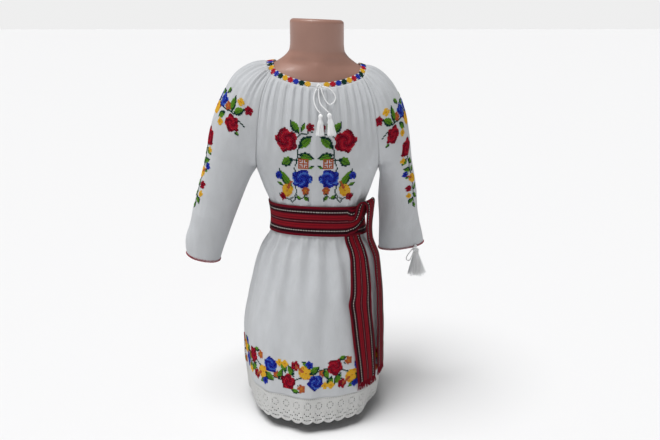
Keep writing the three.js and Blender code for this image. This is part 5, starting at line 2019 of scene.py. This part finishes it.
    def build(self, wardrobe: Wardrobe, binding: NeckBinding) -> None:
        """Sew the chest panels, the hem garland, the sleeves and the neck edge."""
        chest, half, column = chest_chart(), band_chart(), column_chart()
        front = Side.FRONT
        for name, chart, u0 in (("left", chest, -0.008), ("right", chest.mirrored(), -0.035)):
            self.sew(f"chest_panel_{name}", (front,), self.charted(front, chart, u0, 0.435), wardrobe)
        self.sew("hem_garland", (Side.FRONT, Side.BACK), self.hem(), wardrobe)
        band = Chart()
        band.cells = {**half.cells, **half.mirrored().cells}
        spots = (-0.19, 0.575, -0.33, 0.92), (-0.12, 0.54, -0.147, 0.885)
        for side, at in zip(SLEEVES, spots):
            for name, chart, u0, v0 in (("band", band, *at[:2]), ("garland", column, *at[2:])):
                self.sew(f"sleeve_{name}_{side.value}", (side,), self.charted(side, chart, u0, v0), wardrobe)
        self.sew("neck_diamonds", (), self.neck(binding), wardrobe, Finish.BINDING, 2.0)


@dataclass
class CuffEdge:
    """The red overcast edge of a sleeve, with its small picots."""

    cloth: DressCloth
    threads: ThreadMaker
    side: Side
    pitch: float = 2.6
    reach: float = 2.8

    def build(self, wardrobe: Wardrobe, finish: Material) -> None:
        """Sew the edge."""
        side, surface = self.side, self.cloth.surface(self.side)
        rim = np.linspace(-0.999, 0.999, 800)
        points = self.cloth.point(side, rim, np.full_like(rim, 1.998))
        run = lengths(points[:, None, :], 0)[:, 0]
        count = int(run[-1] / self.pitch)
        paths = []
        for k in range(count):
            u0, u1 = np.interp((k + np.array([0.1, 1.0])) / count * run[-1], run, rim)
            u = np.array([u0, u0, (u0 + u1) / 2, u1, u1])
            v = np.array([1.999, 1.999, 1.995, 2.0 - self.reach / 205, 2.0 - (self.reach + 0.5) / 205])
            out = np.array([-1.3, 0.25, 0.75, 0.5, -0.4])
            loop = self.cloth.point(side, u, v) + normals(surface, u, v, side.outward) * out[:, None]
            loop[:2, 2] -= (0.2, 0.7)
            paths.append(spline(loop, 2))
        edge = np.linspace(0, len(rim) - 1, 2 * count).astype(int)
        line = points[edge] + normals(surface, rim[edge], np.full(len(edge), 1.998), side.outward) * 0.1
        line[:, 2] -= 0.7 + 0.5 * (np.arange(len(edge)) % 2)
        paths.append(line)
        piece = self.threads.sweep(f"cuff_edge_{side.value}", paths, 0.46, finish, 5)
        wardrobe.add(piece, Finish.COTTON, wears=finish)


def main() -> None:
    """Build the dress on its form, piece by piece, and light it."""
    logging.basicConfig(level=logging.INFO, format="%(name)s: %(message)s")
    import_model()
    studio = Studio()
    studio.build_camera()
    shape = DressShape()
    palette = Palette()
    wardrobe = Wardrobe(palette.materials())
    threads = ThreadMaker()
    Drawstrings(threads).build(wardrobe)
    cloth = DressCloth(shape)
    panels = cloth.build(wardrobe)
    HemLace(shape).build(wardrobe)
    binding = NeckBinding(shape)
    binding.build(wardrobe)
    Needlework(cloth, panels, palette.thread()).build(wardrobe, binding)
    edging = palette.edging()
    for side in (Side.LEFT, Side.RIGHT):
        CuffEdge(cloth, threads, side).build(wardrobe, edging)
    WovenBelt(shape).build(wardrobe, threads, palette.yarn())
    DressForm(shape).build(wardrobe)
    studio.build(palette.floor())


if __name__ == "__main__":
    main()
